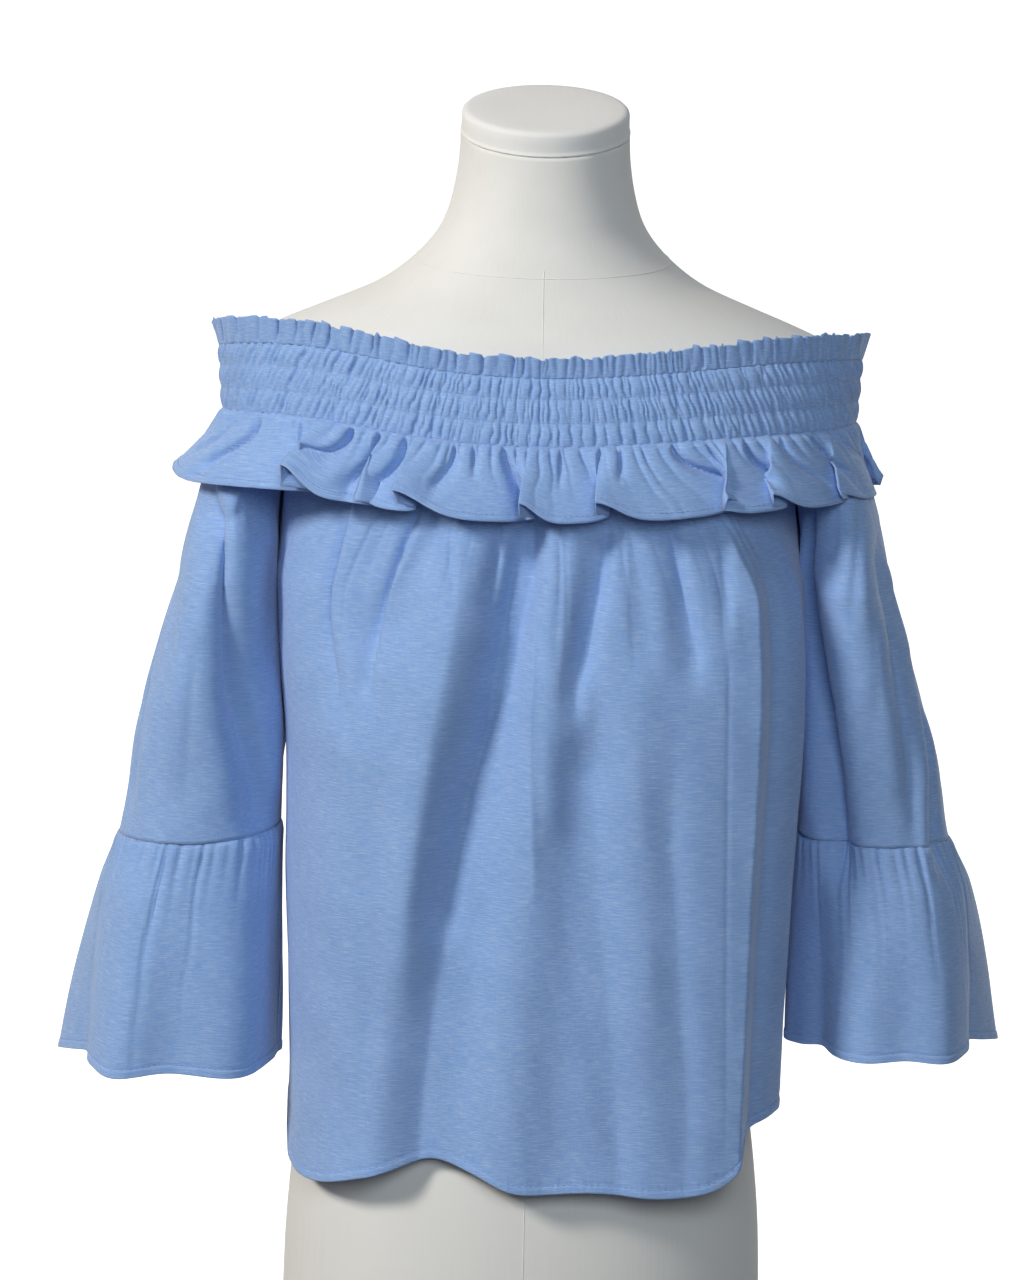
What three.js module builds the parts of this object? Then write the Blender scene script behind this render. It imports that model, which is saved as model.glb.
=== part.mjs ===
// Off-shoulder top with a shirred neck band, flounces and three-quarter sleeves, on a limbless dress form.
// Millimetres, +Z up. The front faces -Y and the wearer's left side is +X. The origin is the middle of the
// form's flat base. Angles round the body start at the front and grow towards +X.
import * as THREE from "three";

const DEGREE = Math.PI / 180;

// Cloth
const CLOTH = 1.4;
const SEAM_GAP = 0.35;
const LAYER_GAP = 0.9;
const HANG_GAP = 0.7;

// Levels
const UNDERARM_Z = 490;
const RAGLAN_STEPS = [0, 0.25, 0.5, 0.75, 1];
const BODY_STEPS = [0.12, 0.26, 0.42, 0.6, 0.78, 0.92, 1];
const SLEEVE_STEPS = [0.25, 0.5, 0.75, 1];

// Polar angles on the last elastic row where the raglan seams start
const RAGLAN_FRONT = 64;
const RAGLAN_BACK = 116;

// Neck band: its gathers, and how far they stand out
const BAND_GATHERS = 64;
const BAND_STEPS_PER_GATHER = 3;
const BAND_WALL = 1.4;
const BAND_PUFF = 1.9;
const FRILL_WAVE = 2.6;
const FRILL_UNEVENNESS = 0.35;

// Neck flounce. Its cloth turns under the next lobe after this share of a lobe, by so many degrees, and its
// hem rises at each fold over these shares of the lobe.
const FLOUNCE_STEPS_PER_LOBE = 10;
const FLOUNCE_FLARE = 19;
const FLOUNCE_FLARE_CURVE = 0.8;
const FLOUNCE_LENGTH = 42;
const FLOUNCE_WAVE = 13;
const FLOUNCE_WAVE_CURVE = 0.7;
const FLOUNCE_HOLLOW = 5;
const FLOUNCE_FOLD_RISE = 13;
const FLOUNCE_TURN = 0.8;
const FLOUNCE_TUCK = 1.6;
const FLOUNCE_RISE = { start: 0.16, end: 0.12 };

// How the body and the sleeves leave the neck ring, and how far a raglan seam's two sides stand apart in
// the middle of its length, over this share of the sleeve's girth
const LOOSENING_CURVE = 1.3;
const RAGLAN_CLEAR = 0.8;
const RAGLAN_CLEAR_SHARE = 0.05;

// Distances that turn a seam's gap into an angle or a share: from the axis to a seam, and round a sleeve
const SEAM_RADIUS = 165;
const SLEEVE_GIRTH = 300;

// Heights over which a fold starts and ends
const BODY_FOLD_EASE = 40;
const SLEEVE_FOLD_EASE = 30;

// Sleeve flounces: how far the cloth falls back between lobes, and the share of a swell by which the hem drops
const SLEEVE_FLOUNCE_HOLLOW = 4;
const HEM_DROP = 0.35;

// The form's cross-sections. z is the height over the axis, lean is how far a ring tips forward, in degrees.
const FORM_RINGS = [
  { z: 0, side: 152, front: 103, back: 92, lean: 0 },
  { z: 90, side: 149, front: 102, back: 93, lean: 0 },
  { z: 170, side: 139, front: 97, back: 90, lean: 0 },
  { z: 285, side: 117, front: 84, back: 79, lean: 0 },
  { z: 360, side: 125, front: 94, back: 84, lean: 0 },
  { z: 430, side: 139, front: 107, back: 90, lean: 0 },
  { z: 480, side: 142, front: 106, back: 92, lean: 0 },
  { z: 530, side: 149, front: 103.5, back: 92, lean: 0 },
  { z: 560, side: 161, front: 102.5, back: 91, lean: 0 },
  { z: 578, side: 174, front: 101.5, back: 90, lean: 0 },
  { z: 592, side: 187, front: 100, back: 89, lean: 0 },
  { z: 606, side: 195.1, front: 98, back: 87.5, lean: 0 },
  { z: 618, side: 195.9, front: 96, back: 85, lean: 0 },
  { z: 630, side: 189.5, front: 92.5, back: 81, lean: 0 },
  { z: 640, side: 176, front: 89, back: 76, lean: 0 },
  { z: 649, side: 156.5, front: 84.5, back: 71, lean: 0.5 },
  { z: 660, side: 129.5, front: 79, back: 66, lean: 1 },
  { z: 671, side: 103.5, front: 74, back: 61.5, lean: 2 },
  { z: 682, side: 86.5, front: 70, back: 58, lean: 3 },
  { z: 696, side: 71.5, front: 66, back: 54, lean: 4.5 },
  { z: 710, side: 62, front: 62.5, back: 50, lean: 6.5 },
  { z: 727, side: 56.5, front: 60.5, back: 46, lean: 9 },
  { z: 748, side: 53, front: 60, back: 42.5, lean: 12 },
  { z: 768.3, side: 52, front: 61, back: 39.5, lean: 15.6 },
];
const FORM_ROUNDNESS = 2.15;
const FORM_COLUMNS = 36;

// The flat disc on the neck, tipped forward with the neck's last ring
const CAP = { radius: 51.5, thickness: 16, edge: 1.6, centreY: -10.7, lean: 15.6 };

// The band's elastic rows from the last one up. z falls from the sides towards the front and the back.
const BAND_ROWS = [
  { name: "row4", frontZ: 581, sideZ: 590.5, backZ: 552, side: 194.4, front: 109, back: 99.5, puff: 0.5 },
  { name: "puff3", frontZ: 588, sideZ: 597.5, backZ: 559, side: 195.1, front: 108, back: 98.7, puff: 1 },
  { name: "row3", frontZ: 595, sideZ: 604.5, backZ: 566, side: 195.6, front: 107, back: 97.9, puff: 0.5 },
  { name: "puff2", frontZ: 602.5, sideZ: 611.5, backZ: 572.5, side: 196, front: 105.9, back: 97.1, puff: 1 },
  { name: "row2", frontZ: 609.5, sideZ: 618.5, backZ: 579, side: 196.4, front: 104.8, back: 96.3, puff: 0.5 },
  { name: "puff1", frontZ: 616, sideZ: 625, backZ: 585, side: 196.9, front: 103.6, back: 95.5, puff: 1 },
  { name: "row1", frontZ: 622, sideZ: 631.5, backZ: 591, side: 197.4, front: 102.5, back: 94.7, puff: 0.5 },
  { name: "top", frontZ: 635, sideZ: 645.5, backZ: 603, side: 200.5, front: 103, back: 95.5, puff: 0 },
];

// The body's cross-sections below the underarm. left is on -X, right on +X.
const BODY_RINGS = [
  { z: 100, left: 153, right: 157.5, front: 124, back: 114 },
  { z: 155, left: 149, right: 158.5, front: 123, back: 113 },
  { z: 235, left: 150, right: 160.5, front: 124, back: 112 },
  { z: 305, left: 152.5, right: 163, front: 125, back: 112 },
  { z: 340, left: 152.5, right: 164.5, front: 126, back: 112 },
  { z: 390, left: 153, right: 167, front: 127, back: 112 },
  { z: 440, left: 157.5, right: 167.5, front: 127, back: 111.5 },
  { z: UNDERARM_Z, left: 160.2, right: 164.2, front: 124, back: 108 },
];
const BODY_ROUNDNESS = { left: 2.6, frontRight: 3.5, back: 2.5 };

// The roundness changes over these angles from the front's middle, and about the sides over this cosine.
const ROUNDNESS_TURN = 40;
const ROUNDNESS_SIDE = 0.25;

// The pressed crease between the front and the side, on +X
const CREASE = { angle: 51.4, height: 5.5, width: 6, top: 560, fade: 40 };

// Folds of the front and back, as valleys (depth above 0) or ridges (below 0). Angles are round the body in
// degrees, from where a fold starts to where it ends; width is half its width in degrees at each end.
const BODY_FOLDS = [
  { name: "outer", top: 556, foot: 440, topAt: -47, footAt: -45, topWidth: 4, footWidth: 6, depth: 6 },
  { name: "second", top: 560, foot: 440, topAt: -29, footAt: -38, topWidth: 4, footWidth: 6, depth: 6 },
  { name: "small", top: 548, foot: 490, topAt: -11.5, footAt: -12.5, topWidth: 3, footWidth: 4, depth: 3 },
  { name: "long_valley", top: 560, foot: 60, topAt: -2, footAt: -27, topWidth: 5, footWidth: 12, depth: 13 },
  { name: "ridge", top: 540, foot: 330, topAt: 6, footAt: 5, topWidth: 4.5, footWidth: 7, depth: -4 },
  { name: "hollow", top: 420, foot: 60, topAt: 12, footAt: 8, topWidth: 6, footWidth: 10, depth: 4 },
  { name: "third", top: 552, foot: 420, topAt: 19, footAt: 10, topWidth: 4, footWidth: 5, depth: 4 },
  { name: "fourth", top: 556, foot: 430, topAt: 26, footAt: 27, topWidth: 3.4, footWidth: 5, depth: 4 },
  { name: "fifth", top: 556, foot: 425, topAt: 35, footAt: 38.5, topWidth: 3.4, footWidth: 5, depth: 4 },
  { name: "sixth", top: 558, foot: 475, topAt: 43.5, footAt: 45, topWidth: 3, footWidth: 4, depth: 3 },
  { name: "left_swell", top: 430, foot: 60, topAt: -47, footAt: -44, topWidth: 9, footWidth: 13, depth: -5 },
  { name: "side_fold", top: 560, foot: 470, topAt: 60, footAt: 66, topWidth: 4, footWidth: 5, depth: 4 },
  { name: "back_centre", top: 540, foot: 60, topAt: 178, footAt: 186, topWidth: 5, footWidth: 12, depth: 8 },
  { name: "back_left", top: 540, foot: 170, topAt: 152, footAt: 146, topWidth: 5, footWidth: 9, depth: 6 },
  { name: "back_right", top: 540, foot: 110, topAt: 208, footAt: 214, topWidth: 5, footWidth: 9, depth: 6 },
];

// The shirt-tail hem: its height round the body
const HEM = [
  { angle: -180, z: 116 },
  { angle: -150, z: 124 },
  { angle: -128, z: 148 },
  { angle: -108, z: 164 },
  { angle: -92, z: 158 },
  { angle: -76, z: 131 },
  { angle: -60, z: 121 },
  { angle: -42, z: 130 },
  { angle: -27, z: 142 },
  { angle: -15, z: 136 },
  { angle: -2, z: 125 },
  { angle: 20, z: 126 },
  { angle: 36, z: 123 },
  { angle: 45, z: 126 },
  { angle: 50.5, z: 135 },
  { angle: 55, z: 157 },
  { angle: 72, z: 171 },
  { angle: 92, z: 180 },
  { angle: 112, z: 182 },
  { angle: 132, z: 156 },
  { angle: 152, z: 126 },
  { angle: 180, z: 116 },
];

// Lobes of the neck flounce over the front, by the angle where each one starts, and how far it stands out
const FRONT_LOBES = [
  { start: -93, swell: 1.1 },
  { start: -58, swell: 1 },
  { start: -36, swell: 1 },
  { start: -3.5, swell: 0.8 },
  { start: 18, swell: 1.1 },
  { start: 51, swell: 0.7 },
  { start: 61, swell: 0.9 },
];
const BACK_LOBES = { start: 88, end: 267, count: 8, unevenness: 3.5 };

// Sleeves. Each cross-section is given by its inner and outer x, and its reach to the front and back. The
// folds' angles are round the sleeve: 0 at the front, 90 outside, -90 at the underarm seam.
const SLEEVE_RIGHT = {
  side: -1,
  seam: { frontZ: 325, innerRise: 7, backRise: 1 },
  rings: [
    { z: UNDERARM_Z, inner: 162.1, outer: 221, front: 80, back: 76 },
    { z: 440, inner: 161, outer: 236, front: 74, back: 70 },
    { z: 390, inner: 157, outer: 247.5, front: 66, back: 62 },
    { z: 325, inner: 157, outer: 257.5, front: 57, back: 53 },
    { z: 290, inner: 156, outer: 270, front: 61, back: 57 },
    { z: 240, inner: 155, outer: 281, front: 66, back: 62 },
    { z: 178, inner: 155, outer: 290, front: 71, back: 66 },
  ],
  folds: [
    { name: "valley", top: 560, foot: 320, topAt: 20, footAt: -50, topWidth: 16, footWidth: 17, depth: 9 },
    { name: "round", top: 556, foot: 505, topAt: -20, footAt: -24, topWidth: 10, footWidth: 12, depth: 4 },
    { name: "outer", top: 470, foot: 328, topAt: 68, footAt: 60, topWidth: 10, footWidth: 12, depth: 4 },
    { name: "back", top: 540, foot: 328, topAt: 170, footAt: 150, topWidth: 12, footWidth: 16, depth: 9 },
  ],
  lobes: [
    { at: -34, width: 20, swell: 9 },
    { at: 24, width: 15, swell: 10 },
    { at: 68, width: 14, swell: -7 },
    { at: 113, width: 19, swell: 16 },
    { at: 158, width: 16, swell: 9 },
    { at: 206, width: 17, swell: 10 },
    { at: 254, width: 14, swell: 4 },
  ],
  hemZ: 182,
};
const SLEEVE_LEFT = {
  side: 1,
  seam: { frontZ: 332, innerRise: 1, backRise: -5 },
  rings: [
    { z: UNDERARM_Z, inner: 166.1, outer: 220.5, front: 80, back: 76 },
    { z: 440, inner: 169.8, outer: 236, front: 74, back: 70 },
    { z: 390, inner: 169.6, outer: 251, front: 66, back: 62 },
    { z: 332, inner: 168, outer: 262, front: 57, back: 53 },
    { z: 300, inner: 165.5, outer: 276, front: 61, back: 57 },
    { z: 250, inner: 163.5, outer: 286, front: 66, back: 62 },
    { z: 190, inner: 162.6, outer: 292, front: 71, back: 66 },
  ],
  folds: [
    { name: "slot", top: 556, foot: 300, topAt: -46, footAt: -25, topWidth: 10, footWidth: 10, depth: 15 },
    { name: "panel_edge", top: 520, foot: 300, topAt: 40, footAt: 28, topWidth: 6, footWidth: 6, depth: -3 },
    { name: "panel_step", top: 520, foot: 300, topAt: 56, footAt: 44, topWidth: 9, footWidth: 9, depth: 6 },
    { name: "small", top: 556, foot: 490, topAt: -8, footAt: -14, topWidth: 7, footWidth: 8, depth: 3 },
    { name: "back", top: 540, foot: 328, topAt: 165, footAt: 178, topWidth: 12, footWidth: 16, depth: 9 },
  ],
  lobes: [
    { at: -78, width: 13, swell: 3 },
    { at: -44, width: 10, swell: -6 },
    { at: -14, width: 19, swell: 8 },
    { at: 25, width: 14, swell: 8 },
    { at: 66, width: 13, swell: -7 },
    { at: 110, width: 20, swell: 16 },
    { at: 156, width: 16, swell: 9 },
    { at: 208, width: 18, swell: 9 },
  ],
  hemZ: 201,
};
const SLEEVE_ROUNDNESS = 2.3;
const SLEEVE_COLUMNS = 40;
const SLEEVE_FLOUNCE_COLUMNS = 48;
const FRONT_COLUMNS = 48;
const BACK_COLUMNS = 32;

const COLOURS = {
  cloth: { color: 0x7ba0d4, roughness: 0.9, metalness: 0 },
  form: { color: 0xe6e4df, roughness: 0.85, metalness: 0 },
};

// Small mathematics
const mix = (a, b, share) => a + (b - a) * share;
const clamp01 = (value) => Math.min(1, Math.max(0, value));
const easeInOut = (value) => clamp01(value) ** 2 * (3 - 2 * clamp01(value));
const bell = (distance) => Math.exp(-distance * distance);
const spread = (count, from, to) => Array.from({ length: count + 1 }, (_, i) => mix(from, to, i / count));

// An uneven but repeatable number between -1 and 1 for each whole number.
const uneven = (index) => {
  const turned = Math.sin(index * 127.1 + 11.7) * 43758.5453;
  return 2 * (turned - Math.floor(turned)) - 1;
};

// A smooth curve through a table's rows: the value of one column where the key column has the value given.
function along(table, key, column, value) {
  const last = table.length - 1;
  if (value <= table[0][key]) return table[0][column];
  if (value >= table[last][key]) return table[last][column];
  const i = table.findIndex((row) => row[key] > value) - 1;
  const slope = (k) => {
    const low = table[Math.max(0, k - 1)];
    const high = table[Math.min(last, k + 1)];
    return (high[column] - low[column]) / (high[key] - low[key]);
  };
  const step = table[i + 1][key] - table[i][key];
  const t = (value - table[i][key]) / step;
  const t2 = t * t;
  const t3 = t2 * t;
  return (
    (2 * t3 - 3 * t2 + 1) * table[i][column] +
    (t3 - 2 * t2 + t) * step * slope(i) +
    (3 * t2 - 2 * t3) * table[i + 1][column] +
    (t3 - t2) * step * slope(i + 1)
  );
}

// A rounded outline about the axis in plan: the point that lies at a polar angle, and its outward normal.
function outline(angle, halfX, front, back, roundness) {
  const s = Math.sin(angle * DEGREE);
  const c = Math.cos(angle * DEGREE);
  const halfY = c > 0 ? front : back;
  const across = Math.abs(s / halfX) ** roundness;
  const deep = Math.abs(c / halfY) ** roundness;
  const radius = (across + deep) ** (-1 / roundness);
  const normal = new THREE.Vector2(
    (Math.sign(s) * across) / Math.max(Math.abs(s), 1e-9),
    (-Math.sign(c) * deep) / Math.max(Math.abs(c), 1e-9),
  ).normalize();
  return { x: radius * s, y: -radius * c, normal };
}

// Adds up a table of folds at an angle and a height: how far the cloth falls back there.
function foldDepth(folds, angle, z, ease) {
  return folds.reduce((sum, fold) => {
    const down = clamp01((fold.top - z) / (fold.top - fold.foot));
    const at = mix(fold.topAt, fold.footAt, down);
    const width = mix(fold.topWidth, fold.footWidth, down);
    const turn = ((angle - at + 540) % 360) - 180;
    const grow = easeInOut((fold.top - z) / ease);
    const fade = easeInOut((z - fold.foot) / ease);
    return sum + fold.depth * bell(turn / width) * grow * fade;
  }, 0);
}

// Meshes

// Joins an outer and an inner grid of points, rows going down, into one closed wall. side is -1 where the
// columns run the other way round.
function closeWall(outer, inner, { wrap = false, side = 1 } = {}) {
  const columns = outer[0].length;
  const points = [...outer.flat(), ...inner.flat()];
  const outerAt = (i, j) => i * columns + (j % columns);
  const innerAt = (i, j) => outer.length * columns + i * columns + (j % columns);
  const faces = [];
  const triangle = (a, b, c) => faces.push(...(side > 0 ? [a, b, c] : [a, c, b]));
  const facing = (a, b, c) => {
    const first = new THREE.Vector3().subVectors(points[b], points[a]);
    return first.cross(new THREE.Vector3().subVectors(points[c], points[a])).normalize();
  };
  // Each quad is split along the diagonal that bends it less.
  const quad = (a, b, c, d) => {
    const oneWay = facing(a, b, c).dot(facing(a, c, d));
    const otherWay = facing(a, b, d).dot(facing(b, c, d));
    if (oneWay >= otherWay) {
      triangle(a, b, c);
      triangle(a, c, d);
    } else {
      triangle(a, b, d);
      triangle(b, c, d);
    }
  };
  const spans = wrap ? columns : columns - 1;
  for (let j = 0; j < spans; j++) {
    for (let i = 0; i < outer.length - 1; i++)
      quad(outerAt(i, j), outerAt(i + 1, j), outerAt(i + 1, j + 1), outerAt(i, j + 1));
    for (let i = 0; i < inner.length - 1; i++)
      quad(innerAt(i, j), innerAt(i, j + 1), innerAt(i + 1, j + 1), innerAt(i + 1, j));
    const foot = outer.length - 1;
    const innerFoot = inner.length - 1;
    quad(outerAt(0, j), outerAt(0, j + 1), innerAt(0, j + 1), innerAt(0, j));
    quad(outerAt(foot, j), innerAt(innerFoot, j), innerAt(innerFoot, j + 1), outerAt(foot, j + 1));
  }
  if (!wrap)
    for (let i = 0; i < outer.length - 1; i++) {
      quad(outerAt(i, 0), innerAt(i, 0), innerAt(i + 1, 0), outerAt(i + 1, 0));
      quad(outerAt(i, spans), outerAt(i + 1, spans), innerAt(i + 1, spans), innerAt(i, spans));
    }
  return new THREE.BufferGeometry().setFromPoints(points).setIndex(faces);
}

// A wall of even thickness about a grid of mid-surface points.
function clothWall(grid, { wrap = false, side = 1, thickness = CLOTH } = {}) {
  const rows = grid.length;
  const columns = grid[0].length;
  const column = (j) => (wrap ? (j + columns) % columns : Math.min(columns - 1, Math.max(0, j)));
  const offset = (i, j, distance) => {
    const below = grid[Math.min(rows - 1, i + 1)][j];
    const above = grid[Math.max(0, i - 1)][j];
    const down = new THREE.Vector3().subVectors(below, above);
    const round = new THREE.Vector3().subVectors(grid[i][column(j + 1)], grid[i][column(j - 1)]);
    const normal = down.cross(round).normalize().multiplyScalar(side * distance);
    return normal.add(grid[i][j]);
  };
  const outer = grid.map((row, i) => row.map((_, j) => offset(i, j, thickness / 2)));
  const inner = grid.map((row, i) => row.map((_, j) => offset(i, j, -thickness / 2)));
  return closeWall(outer, inner, { wrap, side });
}

// A solid through a stack of rings, lowest first, with a flat face at each end.
function stackRings(rings) {
  const columns = rings[0].length;
  const points = rings.flat();
  const faces = [];
  for (let i = 0; i < rings.length - 1; i++)
    for (let j = 0; j < columns; j++) {
      const next = (j + 1) % columns;
      const a = i * columns + j;
      const b = i * columns + next;
      faces.push(a, b, b + columns, a, b + columns, a + columns);
    }
  const middle = (ring) => ring.reduce((sum, p) => sum.add(p), new THREE.Vector3()).divideScalar(columns);
  const low = points.push(middle(rings[0])) - 1;
  const high = points.push(middle(rings[rings.length - 1])) - 1;
  const lastRing = (rings.length - 1) * columns;
  for (let j = 0; j < columns; j++) {
    const next = (j + 1) % columns;
    faces.push(low, next, j, high, lastRing + j, lastRing + next);
  }
  return new THREE.BufferGeometry().setFromPoints(points).setIndex(faces);
}

function named(name, geometry, finish) {
  geometry.computeVertexNormals();
  const mesh = new THREE.Mesh(geometry, new THREE.MeshStandardMaterial(finish));
  mesh.name = name;
  return mesh;
}

// The dress form

function formTorso() {
  const rings = FORM_RINGS.map((ring) =>
    spread(FORM_COLUMNS, -180, 180)
      .slice(0, FORM_COLUMNS)
      .map((angle) => {
        const p = outline(angle, ring.side, ring.front, ring.back, FORM_ROUNDNESS);
        return new THREE.Vector3(p.x, p.y, ring.z + p.y * Math.tan(ring.lean * DEGREE));
      }),
  );
  return stackRings(rings);
}

function formNeckCap() {
  const neck = FORM_RINGS[FORM_RINGS.length - 1];
  const tilt = CAP.lean * DEGREE;
  const up = new THREE.Vector3(0, -Math.sin(tilt), Math.cos(tilt));
  const back = new THREE.Vector3(0, Math.cos(tilt), Math.sin(tilt));
  const foot = new THREE.Vector3(0, CAP.centreY, neck.z + CAP.centreY * Math.tan(tilt));
  const ring = (radius, height) =>
    spread(FORM_COLUMNS, 0, 360)
      .slice(0, FORM_COLUMNS)
      .map((angle) =>
        foot
          .clone()
          .addScaledVector(up, height + SEAM_GAP)
          .add(new THREE.Vector3(radius * Math.sin(angle * DEGREE), 0, 0))
          .addScaledVector(back, -radius * Math.cos(angle * DEGREE)),
      );
  return stackRings([
    ring(CAP.radius, 0),
    ring(CAP.radius, CAP.thickness - CAP.edge),
    ring(CAP.radius - CAP.edge, CAP.thickness),
  ]);
}

// The neck ring

// A point on the band's plain inside at one of its rows, moved outwards.
function bandPoint(row, angle, outwards) {
  const p = outline(angle, row.side, row.front, row.back, FORM_ROUNDNESS);
  const c = Math.cos(angle * DEGREE);
  const end = c > 0 ? row.frontZ : row.backZ;
  const z = mix(row.sideZ, end, c * c);
  return new THREE.Vector3(p.x + p.normal.x * outwards, p.y + p.normal.y * outwards, z);
}

// Height of a gather, between 0 and 1, in the band's column j: each one is one step up and two down.
const gather = (j) => [0, 1, 0.55][j % BAND_STEPS_PER_GATHER];

function neckBand() {
  const columns = BAND_GATHERS * BAND_STEPS_PER_GATHER;
  const angles = spread(columns, -180, 180).slice(0, columns);
  const downwards = [...BAND_ROWS].reverse();
  const frill = (j) => {
    const size = 1 + FRILL_UNEVENNESS * uneven(Math.floor(j / BAND_STEPS_PER_GATHER));
    return FRILL_WAVE * (gather(j) - 0.5) * size;
  };
  const outer = downwards.map((row, i) =>
    angles.map((angle, j) => {
      const shift = Math.floor(i / 2);
      const gathers = gather(j + shift) * row.puff * BAND_PUFF;
      const waves = i === 0 ? frill(j) : 0;
      return bandPoint(row, angle, BAND_WALL + gathers + waves);
    }),
  );
  const inner = [downwards[0], downwards[1], downwards[downwards.length - 1]].map((row, i) =>
    angles.map((angle, j) => bandPoint(row, angle, i === 0 ? frill(j) : 0)),
  );
  return closeWall(outer, inner, { wrap: true });
}

// Where the lobes of the neck flounce start, all the way round.
function flounceLobes() {
  const { start, end, count, unevenness } = BACK_LOBES;
  const back = Array.from({ length: count }, (_, i) => ({
    start: mix(start, end, i / count) + (i ? unevenness * uneven(i + 3) : 0),
    swell: 0.9 + 0.2 * uneven(i + 21),
  }));
  const lobes = [...FRONT_LOBES, ...back];
  const nextStart = (i) => (i < lobes.length - 1 ? lobes[i + 1].start : lobes[0].start + 360);
  return lobes.map((lobe, i) => ({ ...lobe, end: nextStart(i) }));
}

// One step along a lobe: it stands out from its start, falls back towards its end, and the cloth then
// turns under the next lobe. rise lifts the hem at the fold.
function lobeStep(lobe, part) {
  const onward = part < FLOUNCE_TURN;
  const forward = onward ? part / FLOUNCE_TURN : (1 - part) / (1 - FLOUNCE_TURN);
  const width = lobe.end - lobe.start;
  const angle = onward
    ? lobe.start - FLOUNCE_TUCK + (width + 2 * FLOUNCE_TUCK) * forward
    : lobe.end + FLOUNCE_TUCK - 2 * FLOUNCE_TUCK * (1 - forward);
  const out = onward ? Math.cos((forward * Math.PI) / 2) ** FLOUNCE_WAVE_CURVE : 1 - forward;
  const rise = Math.max(bell(part / FLOUNCE_RISE.start), bell((1 - part) / FLOUNCE_RISE.end));
  return { angle, out, rise };
}

function neckFlounce() {
  const row = BAND_ROWS[0];
  const levels = [0, 0.35, 0.7, 1];
  const steps = flounceLobes().flatMap((lobe) =>
    Array.from({ length: FLOUNCE_STEPS_PER_LOBE }, (_, k) => {
      const part = k / FLOUNCE_STEPS_PER_LOBE;
      const straight = mix(lobe.start, lobe.end, part);
      return { straight, swell: lobe.swell, ...lobeStep(lobe, part) };
    }),
  );
  const grid = levels.map((level) =>
    steps.map((step) => {
      const angle = mix(step.straight, step.angle, easeInOut(level));
      const wave = step.swell * (FLOUNCE_WAVE * step.out - FLOUNCE_HOLLOW) * level;
      const flare = FLOUNCE_FLARE * level ** FLOUNCE_FLARE_CURVE;
      const point = bandPoint(row, angle, BAND_WALL + LAYER_GAP + CLOTH / 2 + flare + wave);
      point.z -= HANG_GAP + (FLOUNCE_LENGTH - FLOUNCE_FOLD_RISE * step.rise) * level;
      return point;
    }),
  );
  return clothWall(grid, { wrap: true });
}

// Front and back

// The body's outline below the underarm, with its folds and its crease.
function bodyPoint(angle, z) {
  const turned = ((angle + 540) % 360) - 180;
  const ring = (column) => along(BODY_RINGS, "z", column, z);
  const halfX = turned < 0 ? ring("left") : ring("right");
  const right = easeInOut(turned / ROUNDNESS_TURN);
  const forward = easeInOut((Math.cos(turned * DEGREE) + ROUNDNESS_SIDE) / (2 * ROUNDNESS_SIDE));
  const sideRoundness = mix(BODY_ROUNDNESS.left, BODY_ROUNDNESS.frontRight, right);
  const roundness = mix(BODY_ROUNDNESS.back, sideRoundness, forward);
  const p = outline(turned, halfX, ring("front"), ring("back"), roundness);
  const crease = CREASE.height * Math.exp(-Math.abs(turned - CREASE.angle) / CREASE.width);
  const folds = foldDepth(BODY_FOLDS, turned, z, BODY_FOLD_EASE);
  const outwards = crease * easeInOut((CREASE.top - z) / CREASE.fade) - folds;
  return new THREE.Vector3(p.x + p.normal.x * outwards, p.y + p.normal.y * outwards, z);
}

// The share of the way from the neck ring to the loose cloth, at a share of the way down to the underarm.
const loosening = (down) => 1 - (1 - down) ** LOOSENING_CURVE;

// Rows of a panel from the last elastic row to the hem. ringSpan and bodySpan are the angles of its two
// edges on the ring and on the body.
function panelGrid(ringSpan, bodySpan, columns) {
  const share = spread(columns, 0, 1);
  const edgeGap = SEAM_GAP / 2 / SEAM_RADIUS / DEGREE;
  const bodyAngle = (u) => mix(bodySpan[0] + edgeGap, bodySpan[1] - edgeGap, u);
  const upper = RAGLAN_STEPS.map((down) =>
    share.map((u) => {
      const ring = bandPoint(BAND_ROWS[0], mix(ringSpan[0], ringSpan[1], u), CLOTH / 2);
      ring.z -= HANG_GAP;
      const z = mix(ring.z, UNDERARM_Z, down);
      const body = bodyPoint(bodyAngle(u), z);
      return ring.lerp(body, loosening(down)).setZ(z);
    }),
  );
  const lower = BODY_STEPS.map((down) =>
    share.map((u) => {
      const angle = bodyAngle(u);
      const turned = ((angle + 540) % 360) - 180;
      return bodyPoint(angle, mix(UNDERARM_Z, along(HEM, "angle", "z", turned), down));
    }),
  );
  return [...upper, ...lower];
}

const frontPanel = () => clothWall(panelGrid([-RAGLAN_FRONT, RAGLAN_FRONT], [-90, 90], FRONT_COLUMNS));

const backPanel = () => clothWall(panelGrid([RAGLAN_BACK, 360 - RAGLAN_BACK], [90, 270], BACK_COLUMNS));

// Sleeves

// A point of a sleeve's cross-section. around runs from 0 at the underarm seam over the front, the outside
// and the back to 1, back at the seam.
function sleevePoint(sleeve, around, z) {
  const ring = (column) => along([...sleeve.rings].reverse(), "z", column, z);
  const angle = -90 + 360 * around;
  const middle = (ring("inner") + ring("outer")) / 2;
  const halfX = (ring("outer") - ring("inner")) / 2;
  const p = outline(angle, halfX, ring("front"), ring("back"), SLEEVE_ROUNDNESS);
  const inwards = foldDepth(sleeve.folds, angle, z, SLEEVE_FOLD_EASE);
  const x = middle + p.x - p.normal.x * inwards;
  return new THREE.Vector3(sleeve.side * x, p.y - p.normal.y * inwards, z);
}

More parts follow.
